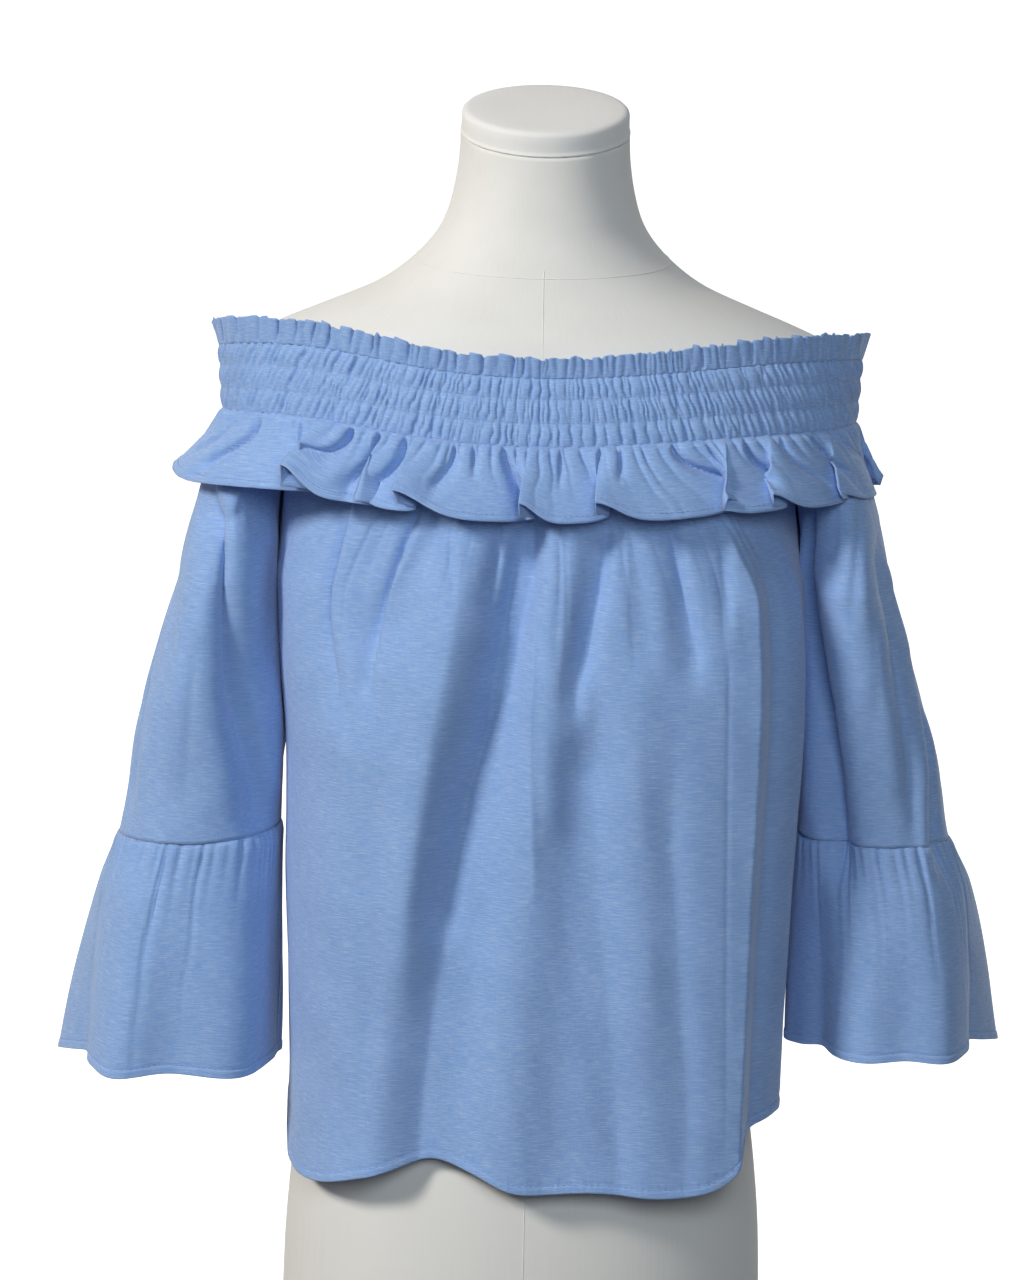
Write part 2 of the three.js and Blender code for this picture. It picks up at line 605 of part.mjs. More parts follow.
// Height of the seam between a sleeve and its flounce.
function sleeveSeamZ(sleeve, around) {
  const angle = (-90 + 360 * around) * DEGREE;
  const { frontZ, innerRise, backRise } = sleeve.seam;
  return frontZ + innerRise * clamp01(-Math.sin(angle)) + backRise * clamp01(-Math.cos(angle));
}

function sleeveWall(sleeve) {
  const gap = SEAM_GAP / 2 / SLEEVE_GIRTH;
  const share = spread(SLEEVE_COLUMNS, gap, 1 - gap);
  const ringGap = SEAM_GAP / SEAM_RADIUS / DEGREE;
  const upper = RAGLAN_STEPS.map((down) =>
    share.map((around) => {
      const ringAngle = mix(RAGLAN_FRONT + ringGap, RAGLAN_BACK - ringGap, around);
      const ring = bandPoint(BAND_ROWS[0], sleeve.side * ringAngle, CLOTH / 2);
      ring.z -= HANG_GAP;
      const z = mix(ring.z, UNDERARM_Z, down);
      const loose = sleevePoint(sleeve, around, z);
      const loosened = loosening(down);
      const nearSeam = bell(Math.min(around, 1 - around) / RAGLAN_CLEAR_SHARE);
      const clear = 4 * loosened * (1 - loosened) * nearSeam * RAGLAN_CLEAR;
      return ring.lerp(loose, loosened).setZ(z).add(new THREE.Vector3(sleeve.side * clear, 0, 0));
    }),
  );
  const lower = SLEEVE_STEPS.map((down) =>
    share.map((around) => {
      const foot = sleeveSeamZ(sleeve, around) + SEAM_GAP / 2;
      return sleevePoint(sleeve, around, mix(UNDERARM_Z, foot, down));
    }),
  );
  return clothWall([...upper, ...lower], { side: sleeve.side });
}

function sleeveFlounce(sleeve) {
  const levels = [0, 0.3, 0.65, 1];
  const share = spread(SLEEVE_FLOUNCE_COLUMNS, 0, 1).slice(0, SLEEVE_FLOUNCE_COLUMNS);
  const grid = levels.map((level) =>
    share.map((around) => {
      const top = sleeveSeamZ(sleeve, around) - HANG_GAP;
      const angle = -90 + 360 * around;
      const swell = sleeve.lobes.reduce((sum, lobe) => {
        const turn = ((angle - lobe.at + 540) % 360) - 180;
        return sum + lobe.swell * bell(turn / lobe.width);
      }, -SLEEVE_FLOUNCE_HOLLOW);
      const outwards = swell * level;
      const z = mix(top, sleeve.hemZ - HEM_DROP * swell, level);
      const p = sleevePoint(sleeve, around, z);
      const across = sleeve.side * Math.sin(angle * DEGREE);
      const deep = -Math.cos(angle * DEGREE);
      return p.add(new THREE.Vector3(across, deep, 0).multiplyScalar(outwards));
    }),
  );
  return clothWall(grid, { wrap: true, side: sleeve.side });
}

const group = new THREE.Group();
group.add(
  named("form_torso", formTorso(), COLOURS.form),
  named("form_neck_cap", formNeckCap(), COLOURS.form),
  named("neck_band", neckBand(), COLOURS.cloth),
  named("neck_flounce", neckFlounce(), COLOURS.cloth),
  named("front_panel", frontPanel(), COLOURS.cloth),
  named("back_panel", backPanel(), COLOURS.cloth),
  named("sleeve_right", sleeveWall(SLEEVE_RIGHT), COLOURS.cloth),
  named("sleeve_left", sleeveWall(SLEEVE_LEFT), COLOURS.cloth),
  named("sleeve_flounce_right", sleeveFlounce(SLEEVE_RIGHT), COLOURS.cloth),
  named("sleeve_flounce_left", sleeveFlounce(SLEEVE_LEFT), COLOURS.cloth),
);

export default group;
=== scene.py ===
"""Off-shoulder top on a limbless dress form: the cloth's folds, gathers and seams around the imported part.

Lengths are in millimetres until a mesh is made. The front faces -Y and the wearer's left side is +X.
Angles round the body start at the front and grow towards +X.
"""

import math

import bpy
import numpy as np
from mathutils import Matrix, Vector


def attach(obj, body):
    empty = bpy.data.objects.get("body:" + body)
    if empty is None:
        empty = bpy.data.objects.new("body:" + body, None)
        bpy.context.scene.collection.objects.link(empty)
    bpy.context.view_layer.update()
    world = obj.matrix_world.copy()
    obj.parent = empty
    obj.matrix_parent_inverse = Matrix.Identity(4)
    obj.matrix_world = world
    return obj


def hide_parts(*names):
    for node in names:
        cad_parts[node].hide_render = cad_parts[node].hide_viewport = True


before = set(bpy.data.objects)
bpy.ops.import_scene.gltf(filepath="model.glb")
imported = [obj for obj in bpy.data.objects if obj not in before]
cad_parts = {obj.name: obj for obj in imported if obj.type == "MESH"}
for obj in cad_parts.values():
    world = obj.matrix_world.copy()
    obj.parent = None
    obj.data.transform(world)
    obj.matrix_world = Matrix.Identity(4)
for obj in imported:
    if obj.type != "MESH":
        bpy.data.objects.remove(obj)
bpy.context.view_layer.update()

MM = 0.001
DEGREE = math.pi / 180

# Camera: where it looks, from how far, and how far it leans
CAMERA_TARGET = Vector((-14, 0, 449))
CAMERA_DISTANCE = 3000
CAMERA_ELEVATION = 8
CAMERA_ROLL = -1.2
CAMERA_LENS = 135


def table(columns, *rows):
    """A table's columns by name."""
    return dict(zip(columns.split(), np.array(rows, float).T))


# Cloth
SHELL = 0.7
SHELL_OUT = 0.35
SEAM_GAP = 0.35
LAYER_GAP = 0.9
HANG_GAP = 0.7
CLOTH = 1.4
UNDERARM_Z = 490
RAGLAN_FRONT = 64
RAGLAN_BACK = 116
SEAM_RADIUS = 165
LOOSENING_CURVE = 1.3
FORM_CLEARANCE = 2.4

FORM_ROUNDNESS = 2.15
FORM_COLUMNS = 144
NECK_TOP = 768.3
NECK_TILT = 15.6
CAP_FORWARD = 10.7
FORM_RINGS = table(
    "z side front back lean",
    (0, 152, 103, 92, 0), (90, 149, 102, 93, 0), (170, 139, 97, 90, 0), (285, 117, 84, 79, 0),
    (360, 125, 94, 84, 0), (430, 139, 107, 90, 0), (480, 142, 106, 92, 0),
    (530, 149, 103.5, 92, 0), (560, 161, 102.5, 91, 0), (578, 174, 101.5, 90, 0),
    (592, 187, 100, 89, 0), (606, 195.1, 98, 87.5, 0), (618, 195.9, 96, 85, 0),
    (630, 189.5, 92.5, 81, 0), (640, 176, 89, 76, 0), (649, 156.5, 84.5, 71, 0.5),
    (660, 129.5, 79, 66, 1), (671, 103.5, 74, 61.5, 2), (682, 86.5, 70, 58, 3),
    (696, 71.5, 66, 54, 4.5), (710, 62, 62.5, 50, 6.5), (727, 56.5, 60.5, 46, 9),
    (748, 53, 60, 42.5, 12), (768.3, 52, 61, 39.5, 15.6),
)

# The neck ring. up counts elastic rows from the last one, and the frill's top is at 4.
BAND_RINGS = table(
    "up frontZ sideZ backZ side front back",
    (0, 581, 590.5, 552, 194.4, 109, 99.5),
    (0.5, 588, 597.5, 559, 195.1, 108, 98.7),
    (1, 595, 604.5, 566, 195.6, 107, 97.9),
    (1.5, 602.5, 611.5, 572.5, 196, 105.9, 97.1),
    (2, 609.5, 618.5, 579, 196.4, 104.8, 96.3),
    (2.5, 616, 625, 585, 196.9, 103.6, 95.5),
    (3, 622, 631.5, 591, 197.4, 102.5, 94.7),
    (4, 635, 645.5, 603, 200.5, 103, 95.5),
)

# The ring is a little higher at its front corner on the wearer's right.
CORNER_RISE = {"angle": -62, "width": 20, "height": 5}

# Towards its top the ring stands higher just before each side and lower just behind it.
TOP_TILT = {"before": 66, "rise": 3, "behind": 108, "drop": 8, "width": 22}

# Gathers of each channel from the last one up: how many go round, how deep, and how far they lean. Places
# along the ring are in degrees of equal length. Towards the sides they grow wider and deeper.
CHANNELS = table("count depth lean", (170, 2.1, 2.6), (250, 1.9, 3.4), (190, 2.1, 2.6))
CHANNEL_WIDTH = 0.14
SIDE_WIDENING = 0.1
SIDE_DEEPENING = 0.6
LONG_GATHERS = {"count": 96, "depth": 1.9, "lean": 6, "width": 0.1}
BAND_ROW_OUT = 1.5
BAND_INSIDE = 0.6
BAND_FOOT = -0.06
BAND_TOP = 3.02
BAND_PUFF = 1.8
BAND_COLUMNS = 2300
BAND_LEVELS = 29
ROW_HEIGHT = 13
ROW_PINCH = 0.1
FRILL = {
    "count": 84,
    "depth": 5.6,
    "overlap": 0.9,
    "notch": 1.9,
    "tilt": 2.6,
    "out": 2.6,
    "side_height": 2.6,
    "lean": 1.6,
    "foot": 2.97,
    "levels": 13,
    "columns": 1300,
    "least_step": 0.16,
    "shell": 0.6,
}

# Flat cloth across each piece, in mm: for each degree round the body, or for the whole way round a sleeve
WEAVE_ACROSS = {"form": 2.2, "band": 5.2, "flounce": 3.6, "panel": 2.45, "sleeve": 400, "cuff": 430}

BODY_RINGS = table(
    "z left right front back",
    (100, 153, 157.5, 124, 114),
    (155, 149, 158.5, 123, 113),
    (235, 150, 160.5, 124, 112),
    (305, 152.5, 163, 125, 112),
    (340, 152.5, 164.5, 126, 112),
    (390, 153, 167, 127, 112),
    (440, 157.5, 167.5, 127, 111.5),
    (UNDERARM_Z, 160.2, 164.2, 124, 108),
)
BODY_ROUNDNESS = {"left": 2.6, "front_right": 3.5, "back": 2.5}
ROUNDNESS_TURN = 40
ROUNDNESS_SIDE = 0.25
CREASE = {"angle": 51.4, "height": 5.5, "width": 6, "top": 560, "fade": 40}
BODY_FOLD_EASE = 40
SLEEVE_FOLD_EASE = 30

# Main folds, as on the solids: valleys (depth above 0) or ridges, by angle
FOLD_COLUMNS = "top foot topAt footAt topWidth footWidth depth"
BODY_FOLDS = table(
    FOLD_COLUMNS,
    (556, 440, -47, -45, 4, 6, 6),
    (560, 440, -29, -38, 4, 6, 6),
    (548, 490, -11.5, -12.5, 3, 4, 3),
    (560, 60, -2, -27, 5, 12, 13),
    (540, 330, 6, 5, 4.5, 7, -4),
    (420, 60, 12, 8, 6, 10, 4),
    (552, 420, 19, 10, 4, 5, 4),
    (556, 430, 26, 27, 3.4, 5, 4),
    (556, 425, 35, 38.5, 3.4, 5, 4),
    (558, 475, 43.5, 45, 3, 4, 3),
    (430, 60, -47, -44, 9, 13, -5),
    (560, 470, 60, 66, 4, 5, 4),
    (540, 60, 178, 186, 5, 12, 8),
    (540, 170, 152, 146, 5, 9, 6),
    (540, 110, 208, 214, 5, 9, 6),
)
HEM = table(
    "angle z",
    (-180, 116), (-150, 124), (-128, 148), (-108, 164), (-92, 158), (-76, 131), (-60, 121),
    (-42, 130), (-27, 142), (-15, 136), (-2, 125), (20, 126), (36, 123), (45, 126), (50.5, 135),
    (55, 157), (72, 171), (92, 180), (112, 182), (132, 156), (152, 126), (180, 116),
)

# Neck flounce
FLOUNCE = {
    "flare": 19,
    "flare_curve": 0.8,
    "length": 42,
    "cut_length": 43,
    "wave": 15,
    "wave_curve": 0.7,
    "hollow": 5,
    "turn": 0.82,
    "tuck": 2.4,
    "columns_per_degree": 3.4,
    "least_columns": 30,
    "levels": 27,
    "gathers": 104,
    "gather_depth": 5.2,
    "fold_share": 1.6,
    "narrow_at": 95,
    "narrow_width": 36,
    "narrow_share": 0.45,
    "gather_lean": 11,
}

# The flounce's own folds over the front, from the seam to the hem, by x at each end
FLOUNCE_FOLDS = table(
    "topX footX depth width reach",
    (-184, -203, 3.5, 4, 0.8), (-168, -190, 6, 5, 1), (-140, -148, 3.5, 4, 0.6),
    (-111, -136, 7, 6, 0.85), (-94, -112, 6, 5, 1.1), (-78, -90, 5, 4.5, 1.1),
    (-49, -60, 4.5, 5, 0.9), (-38, -43, 3, 3.5, 0.5), (-21, -21, 6, 4.5, 1.1),
    (12, 8, 3, 3.5, 0.6), (35, 33, 5, 4.5, 0.8), (47, 44, 3, 3.5, 0.6), (78, 104, 6.5, 5.5, 1.1),
    (98, 112, 3, 3.5, 0.6), (121, 136, 6, 4.5, 1), (143, 161, 3.5, 4, 0.8),
    (164, 184, 4.5, 4.5, 1), (182, 205, 5, 4.5, 1),
)

# Each lobe starts at an angle, swells out, and lifts its hem where it starts and where it ends.
FLOUNCE_LOBES = table(
    "start swell startRise endRise",
    (-93, 1.1, 9, 4), (-58, 1, 17, 2), (-44.5, 0.55, 4, 5), (-36, 1.05, 13, 4),
    (-3.5, 0.85, 12, 6), (18.5, 1.15, 13, 10), (50, 0.6, 3, 3), (59, 0.95, 11, 3),
    (73, 0.7, 6, 4), (90, 0.9, 10, 5), (112, 1, 13, 4), (131, 0.8, 9, 6), (156, 1.1, 14, 4),
    (178, 0.9, 10, 5), (199, 1.05, 12, 4), (223, 0.8, 9, 5), (244, 0.95, 12, 4),
)

# Sleeves, by inner and outer x and the reach to the front and back, with their folds by angle
SLEEVE_ROUNDNESS = 2.3
SLEEVE_EDGE = 0.0006
SLEEVE_COLUMNS = 196
SLEEVE_UPPER_ROWS = 36
SLEEVE_LOWER_ROWS = 64
SLEEVE_RINGS = "z inner outer front back"
SLEEVES = {
    "right": {
        "side": -1,
        "seam": (325, 7, 1),
        "hem_z": 182,
        "rings": table(
            SLEEVE_RINGS,
            (178, 155, 290, 71, 66),
            (240, 155, 281, 66, 62),
            (290, 156, 270, 61, 57),
            (325, 157, 257.5, 57, 53),
            (390, 157, 247.5, 66, 62),
            (440, 161, 236, 74, 70),
            (UNDERARM_Z, 162.1, 221, 80, 76),
        ),
        "folds": table(
            FOLD_COLUMNS,
            (560, 320, 20, -50, 16, 17, 9),
            (556, 505, -20, -24, 10, 12, 4),
            (470, 328, 68, 60, 10, 12, 4),
            (540, 328, 170, 150, 12, 16, 9),
        ),
        "lobes": table(
            "at width swell",
            (-34, 20, 9), (24, 15, 10), (68, 14, -7), (113, 19, 16), (158, 16, 9), (206, 17, 10),
            (254, 14, 4),
        ),
    },
    "left": {
        "side": 1,
        "seam": (332, 1, -5),
        "hem_z": 201,
        "rings": table(
            SLEEVE_RINGS,
            (190, 162.6, 292, 71, 66),
            (250, 163.5, 286, 66, 62),
            (300, 165.5, 276, 61, 57),
            (332, 168, 262, 57, 53),
            (390, 169.6, 251, 66, 62),
            (440, 169.8, 236, 74, 70),
            (UNDERARM_Z, 166.1, 220.5, 80, 76),
        ),
        "folds": table(
            FOLD_COLUMNS,
            (556, 300, -46, -25, 10, 10, 15),
            (520, 300, 40, 28, 6, 6, -3),
            (520, 300, 56, 44, 9, 9, 6),
            (556, 490, -8, -14, 7, 8, 3),
            (540, 328, 165, 178, 12, 16, 9),
        ),
        "lobes": table(
            "at width swell",
            (-78, 13, 3), (-44, 10, -6), (-14, 19, 8), (25, 14, 8), (66, 13, -7), (110, 20, 16),
            (156, 16, 9), (208, 18, 9),
        ),
    },
}

# The sleeves' flounces
CUFF = {
    "hollow": 4,
    "tuck": 0.9,
    "hem_drop": 0.35,
    "length": 140,
    "columns": 250,
    "gathers": 50,
    "gather_depth": 6.2,
    "puff": 3.0,
    "hem_at": 0.962,
}


# Studio lights, with places and sizes in m, and the point that they are turned to
KEY_LIGHT = {"place": (-2.56, -1.97, 2.3), "power": 99, "size": 0.7, "colour": (1.0, 0.955, 0.89)}
FILL_LIGHT = {"place": (0.3, -3.3, 1.7), "power": 46, "size": 1.2, "colour": (0.82, 0.92, 1.0)}
LIT_POINT = (0, 0, 0.42)

# The white room: its light before and behind the form, its tint, and how bright the camera sees it
ROOM_LIGHT = (0.07, 1.25)
ROOM_TURN = (0.1, 1.0)
ROOM_TINT = (0.96, 0.98, 1, 1)
ROOM_SEEN = 1.05

# The floor: half its side and its depth below the form, in m, and its own light
FLOOR_REACH = 60
FLOOR_DROP = 0.001
FLOOR_GLOW = 0.96


# Small mathematics


def mix(a, b, share):
    return a + (b - a) * share


def ease(value):
    t = np.clip(value, 0, 1)
    return t * t * (3 - 2 * t)


def bell(distance):
    return np.exp(-distance * distance)


def turned(angle):
    """An angle brought between -180 and 180 degrees."""
    return (angle + 540) % 360 - 180


def uneven(index, seed):
    """A repeatable number between 0 and 1 for each whole number."""
    value = np.sin(index * 127.1 + seed * 311.7) * 43758.5453
    return value - np.floor(value)


def wander(x, seed):
    """Smooth uneven values between -1 and 1 along x, about one swing for every two units."""
    return (np.sin(2.1 * x + seed) + np.sin(3.7 * x + 2.3 * seed) + np.sin(5.3 * x + 4.1 * seed)) / 3


def along(rows, key, column, value):
    """A smooth curve through a table's rows: one column where the key column has the value given."""
    keys, heights = rows[key], rows[column]
    last = len(keys) - 1
    here = np.arange(last + 1)
    low, high = np.maximum(here - 1, 0), np.minimum(here + 1, last)
    slopes = (heights[high] - heights[low]) / (keys[high] - keys[low])
    value = np.clip(value, keys[0], keys[-1])
    i = np.clip(np.searchsorted(keys, value, side="right") - 1, 0, last - 1)
    step = keys[i + 1] - keys[i]
    t = (value - keys[i]) / step
    start = (2 * t**3 - 3 * t**2 + 1) * heights[i] + (t**3 - 2 * t**2 + t) * step * slopes[i]
    end = (3 * t**2 - 2 * t**3) * heights[i + 1] + (t**3 - t**2) * step * slopes[i + 1]
    return start + end


def row_at(rows, key, value, columns):
    """Smooth curves through several of a table's columns, at a value of its key column."""
    return [along(rows, key, column, value) for column in columns.split()]


def outline(angle, half_x, front, back, roundness):
    """A rounded outline about the axis in plan: the points at polar angles, and their outward normals."""
    s, c = np.sin(angle * DEGREE), np.cos(angle * DEGREE)
    across = np.abs(s / half_x) ** roundness
    deep = np.abs(c / np.where(c > 0, front, back)) ** roundness
    radius = (across + deep) ** (-1 / roundness)
    nx = np.sign(s) * across / np.maximum(np.abs(s), 1e-9)
    ny = -np.sign(c) * deep / np.maximum(np.abs(c), 1e-9)
    size = np.hypot(nx, ny)
    return radius * s, -radius * c, nx / size, ny / size


def fold_depth(folds, angle, z, ease_height):
    """How far a table of folds lets the cloth fall back at angles and heights."""
    total = np.zeros(np.broadcast(angle, z).shape)
    for top, foot, top_at, foot_at, top_width, foot_width, depth in zip(*folds.values()):
        down = np.clip((top - z) / (top - foot), 0, 1)
        turn = turned(angle - mix(top_at, foot_at, down))
        shape = bell(turn / mix(top_width, foot_width, down))
        total += depth * shape * ease((top - z) / ease_height) * ease((z - foot) / ease_height)
    return total


def uneven_steps(at, count, seed, whole=360.0, least=0.45):
    """How far each place lies past its nearest valley, in steps, and that valley's number.

    The steps are of uneven length and together fill the whole round.
    """
    sizes = least + uneven(np.arange(count), seed)
    ends = np.concatenate([[0], np.cumsum(sizes)]) * whole / sizes.sum()
    phase = np.interp(np.mod(at, whole), ends, np.arange(count + 1))
    nearest = np.round(phase)
    return phase - nearest, np.mod(nearest, count)


# The neck ring's reach to the sides, the front and the back, at its middle
RING_REACH = (196, 106, 97)


def ring_run():
    """Angles round the neck ring, and the run along it in degrees of equal length."""
    angles = np.linspace(-180, 180, 1441)
    x, y, _, _ = outline(angles, *RING_REACH, FORM_ROUNDNESS)
    run = np.concatenate([[0], np.cumsum(np.hypot(np.diff(x), np.diff(y)))])
    return angles, run / run[-1] * 360 - 180, x


RING_ANGLES, RING_RUN, RING_X = ring_run()

# The ring's length for one degree of its run, in mm
RUN_DEGREE = 3.5


def run_at(angle):
    return np.interp(turned(angle), RING_ANGLES, RING_RUN)


def angle_at_run(run):
    return np.interp(run, RING_RUN, RING_ANGLES)


def run_at_x(x):
    """The run along the ring's front where x is as given."""
    front = np.abs(RING_ANGLES) < 88
    return np.interp(x, RING_X[front], RING_RUN[front])


def gathers(at, count, seed, width=0.17, whole=360.0, least=0.25):
    """Pillows between narrow valleys of uneven depth: -1 to 0, and each valley's number."""
    past, number = uneven_steps(at, count, seed, whole)
    depth = least + (1 - least) * uneven(number, seed + 1)
    return -depth * np.exp(-(np.abs(past / width) ** 1.3)), number


# Objects and meshes


def new_object(name, data):
    made = bpy.data.objects.new(name, data)
    bpy.context.scene.collection.objects.link(made)
    return made


def smooth_mesh(name, points, faces):
    mesh = bpy.data.meshes.new(name)
    mesh.from_pydata(points, [], faces)
    mesh.polygons.foreach_set("use_smooth", np.ones(len(faces), bool))
    return new_object(name, mesh)


def shell(name, grid, across, down, side=1, thickness=SHELL, closed=False):
    """A thin cloth from a grid of points, rows going down, which keeps its flat coordinates across and down.

    A closed one goes round both ways, from its last row back to its first.
    """
    rows, columns = grid.shape[:2]
    open_edge = 0 if closed else 1
    i, j = np.mgrid[0 : rows - open_edge, 0 : columns - open_edge]
    below, beside = (i + 1) % rows, (j + 1) % columns
    corners = [i * columns + j, below * columns + j, below * columns + beside, i * columns + beside]
    quads = np.stack(corners, -1).reshape(-1, 4)
    if side < 0:
        quads = quads[:, ::-1]
    made = smooth_mesh(name, (grid.reshape(-1, 3) * MM).tolist(), quads.tolist())
    flat = made.data.attributes.new("weave", "FLOAT_VECTOR", "POINT")
    laid = np.stack(np.broadcast_arrays(across, down, np.zeros((rows, columns))), -1)
    flat.data.foreach_set("vector", laid.astype(np.float32).ravel())
    if thickness:
        wall = made.modifiers.new("wall", "SOLIDIFY")
        wall.thickness = thickness * MM
        wall.offset = -1
    return made


def normals(grid, side=1):
    """Outward directions on a grid of points."""
    down = np.gradient(grid, axis=0)
    across = np.gradient(grid, axis=1)
    n = np.cross(down, across) * side
    return n / np.maximum(np.linalg.norm(n, axis=-1, keepdims=True), 1e-9)


def finish_piece(piece, material, node=None):
    piece.data.materials.append(material)
    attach(piece, "root")
    if node:
        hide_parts(node)
    return piece


def tube(path, radius, sides=6):
    """The points and faces of a closed round bar along a path."""
    path = np.asarray(path, float)
    ahead = np.gradient(path, axis=0)
    ahead /= np.linalg.norm(ahead, axis=1, keepdims=True)
    up = np.where(np.abs(ahead[:, 2:3]) > 0.9, [[1.0, 0, 0]], [[0, 0, 1.0]])
    first = np.cross(ahead, up)
    first /= np.linalg.norm(first, axis=1, keepdims=True)
    second = np.cross(ahead, first)
    turn = np.arange(sides) * 2 * math.pi / sides
    ring = first[:, None] * np.cos(turn)[:, None] + second[:, None] * np.sin(turn)[:, None]
    points = path[:, None] + radius * ring
    faces = []
    for i in range(len(path) - 1):
        for j in range(sides):
            k = (j + 1) % sides
            faces.append((i * sides + j, i * sides + k, (i + 1) * sides + k, (i + 1) * sides + j))
    faces.append(tuple(range(sides))[::-1])
    faces.append(tuple((len(path) - 1) * sides + j for j in range(sides)))
    return points.reshape(-1, 3), faces


def joined(name, parts):
    """One object from several lists of points and faces."""
    points, faces = [], []
    for more_points, more_faces in parts:
        start = len(points)
        points.extend((np.asarray(more_points) * MM).tolist())
        faces.extend(tuple(k + start for k in face) for face in more_faces)
    return smooth_mesh(name, points, faces)


def stitches(path, normal, length=2.4, gap=1.1, radius=0.24):
    """The points and faces of short threads lying along a path on the cloth."""
    path = np.asarray(path, float) + 0.12 * normal
    steps = np.linalg.norm(np.diff(path, axis=0), axis=1)
    run = np.concatenate([[0], np.cumsum(steps)])
    starts = np.arange(gap, run[-1] - length - gap, length + gap)
    parts = []
    for start in starts:
        at = start + length * np.array([0, 0.2, 0.8, 1])
        line = np.stack([np.interp(at, run, path[:, k]) for k in range(3)], 1)
        lift = np.stack([np.interp(at, run, normal[:, k]) for k in range(3)], 1)
        line += lift * np.array([-0.25, 0.08, 0.08, -0.25])[:, None]
        parts.append(tube(line, radius, 3))
    return parts


# Materials


def set_sockets(made, **sockets):
    for key, value in sockets.items():
        made.inputs[key.replace("_", " ")].default_value = value


def node(tree, kind, **sockets):
    made = tree.nodes.new(kind)
    set_sockets(made, **sockets)
    return made


def link(tree, output, target):
    tree.links.new(output, target)


def blank_material(name):
    material = bpy.data.materials.new(name)
    material.use_nodes = True
    tree = material.node_tree
    return material, tree, tree.nodes["Principled BSDF"]


def cloth_material(name):
    """A blank material with its cloth's flat coordinates."""
    material, tree, shader = blank_material(name)
    flat = tree.nodes.new("ShaderNodeAttribute")
    flat.attribute_name = "weave"
    return material, tree, shader, flat.outputs["Vector"]


def add_bump(tree, shader, height, strength, distance):
    bump = node(tree, "ShaderNodeBump", Strength=strength, Distance=distance)
    link(tree, height, bump.inputs["Height"])
    link(tree, bump.outputs["Normal"], shader.inputs["Normal"])


def stretched_noise(tree, source, across, down, scale=1.0, detail=3.0):
    """Noise on the flat cloth, in swings per millimetre across and down."""
    place = node(tree, "ShaderNodeMapping", Scale=(across, down, 1))
    link(tree, source, place.inputs["Vector"])
    noise = node(tree, "ShaderNodeTexNoise", Scale=scale, Detail=detail, Roughness=0.6)
    link(tree, place.outputs["Vector"], noise.inputs["Vector"])
    return noise.outputs["Fac"]


def ramp(tree, source, low, high):
    made = node(tree, "ShaderNodeMapRange", From_Min=low, From_Max=high)
    link(tree, source, made.inputs["Value"])
    return made.outputs["Result"]


def blended(tree, share, first, second, kind="MIX"):
    """Two colours mixed by a share; each is a colour or a socket."""
    made = tree.nodes.new("ShaderNodeMix")
    made.data_type = "RGBA"
    made.blend_type = kind
    for socket, value in ((made.inputs[0], share), (made.inputs[6], first), (made.inputs[7], second)):
        if isinstance(value, (int, float, tuple)):
            socket.default_value = value
        else:
            link(tree, value, socket)
    return made.outputs[2]


def chambray(name="chambray_cloth", tint=(0.2, 0.355, 0.7, 1), pale=(0.6, 0.71, 0.88, 1)):
    """Blue warp and white weft, with uneven white slubs along the weft."""
    material, tree, shader, place = cloth_material(name)
    slubs = ramp(tree, stretched_noise(tree, place, 0.1, 1.35), 0.44, 0.7)
    threads = ramp(tree, stretched_noise(tree, place, 0.22, 2.6, detail=2.0), 0.35, 0.75)
    warp = ramp(tree, stretched_noise(tree, place, 2.4, 0.12, detail=2.0), 0.35, 0.75)
    mottle = ramp(tree, stretched_noise(tree, place, 0.02, 0.03, detail=2.0), 0.3, 0.7)
    colour = blended(tree, slubs, tint, pale)
    colour = blended(tree, 0.62, colour, blended(tree, threads, tint, (0.35, 0.52, 0.83, 1)))
    colour = blended(tree, 0.16, colour, blended(tree, warp, (0.14, 0.29, 0.63, 1), (0.38, 0.55, 0.84, 1)))
    shade = blended(tree, mottle, (0.93, 0.94, 0.95, 1), (1.04, 1.03, 1.02, 1))
    link(tree, blended(tree, 1.0, colour, shade, "MULTIPLY"), shader.inputs["Base Color"])
    set_sockets(shader, Roughness=0.86, Specular_IOR_Level=0.25, Sheen_Weight=0.3, Sheen_Roughness=0.5)
    relief = tree.nodes.new("ShaderNodeMath")
    relief.operation = "ADD"
    link(tree, slubs, relief.inputs[0])
    link(tree, threads, relief.inputs[1])
    add_bump(tree, shader, relief.outputs[0], 0.35, 0.00025)
    return material


def thread(name="thread"):
    material, tree, shader = blank_material(name)
    place = tree.nodes.new("ShaderNodeTexCoord")
    grain = node(tree, "ShaderNodeTexNoise", Scale=900.0, Detail=2.0)
    link(tree, place.outputs["Object"], grain.inputs["Vector"])
    tones = blended(tree, grain.outputs["Fac"], (0.16, 0.3, 0.6, 1), (0.34, 0.48, 0.76, 1))
    link(tree, tones, shader.inputs["Base Color"])
    shader.inputs["Roughness"].default_value = 0.7
    return material


def jersey(name="form_jersey_cloth", light=(0.8, 0.785, 0.755, 1), dark=(0.74, 0.725, 0.69, 1)):
    """A fine off-white knit with faint upright ribs."""
    material, tree, shader, place = cloth_material(name)
    ribs = ramp(tree, stretched_noise(tree, place, 1.1, 0.03, detail=2.0), 0.3, 0.75)
    cloud = ramp(tree, stretched_noise(tree, place, 0.012, 0.012, detail=2.0), 0.3, 0.7)
    link(tree, blended(tree, cloud, blended(tree, ribs, dark, light), light), shader.inputs["Base Color"])
    set_sockets(shader, Roughness=0.9, Specular_IOR_Level=0.2)
    add_bump(tree, shader, stretched_noise(tree, place, 1.6, 1.6, detail=2.0), 0.2, 0.0002)
    return material


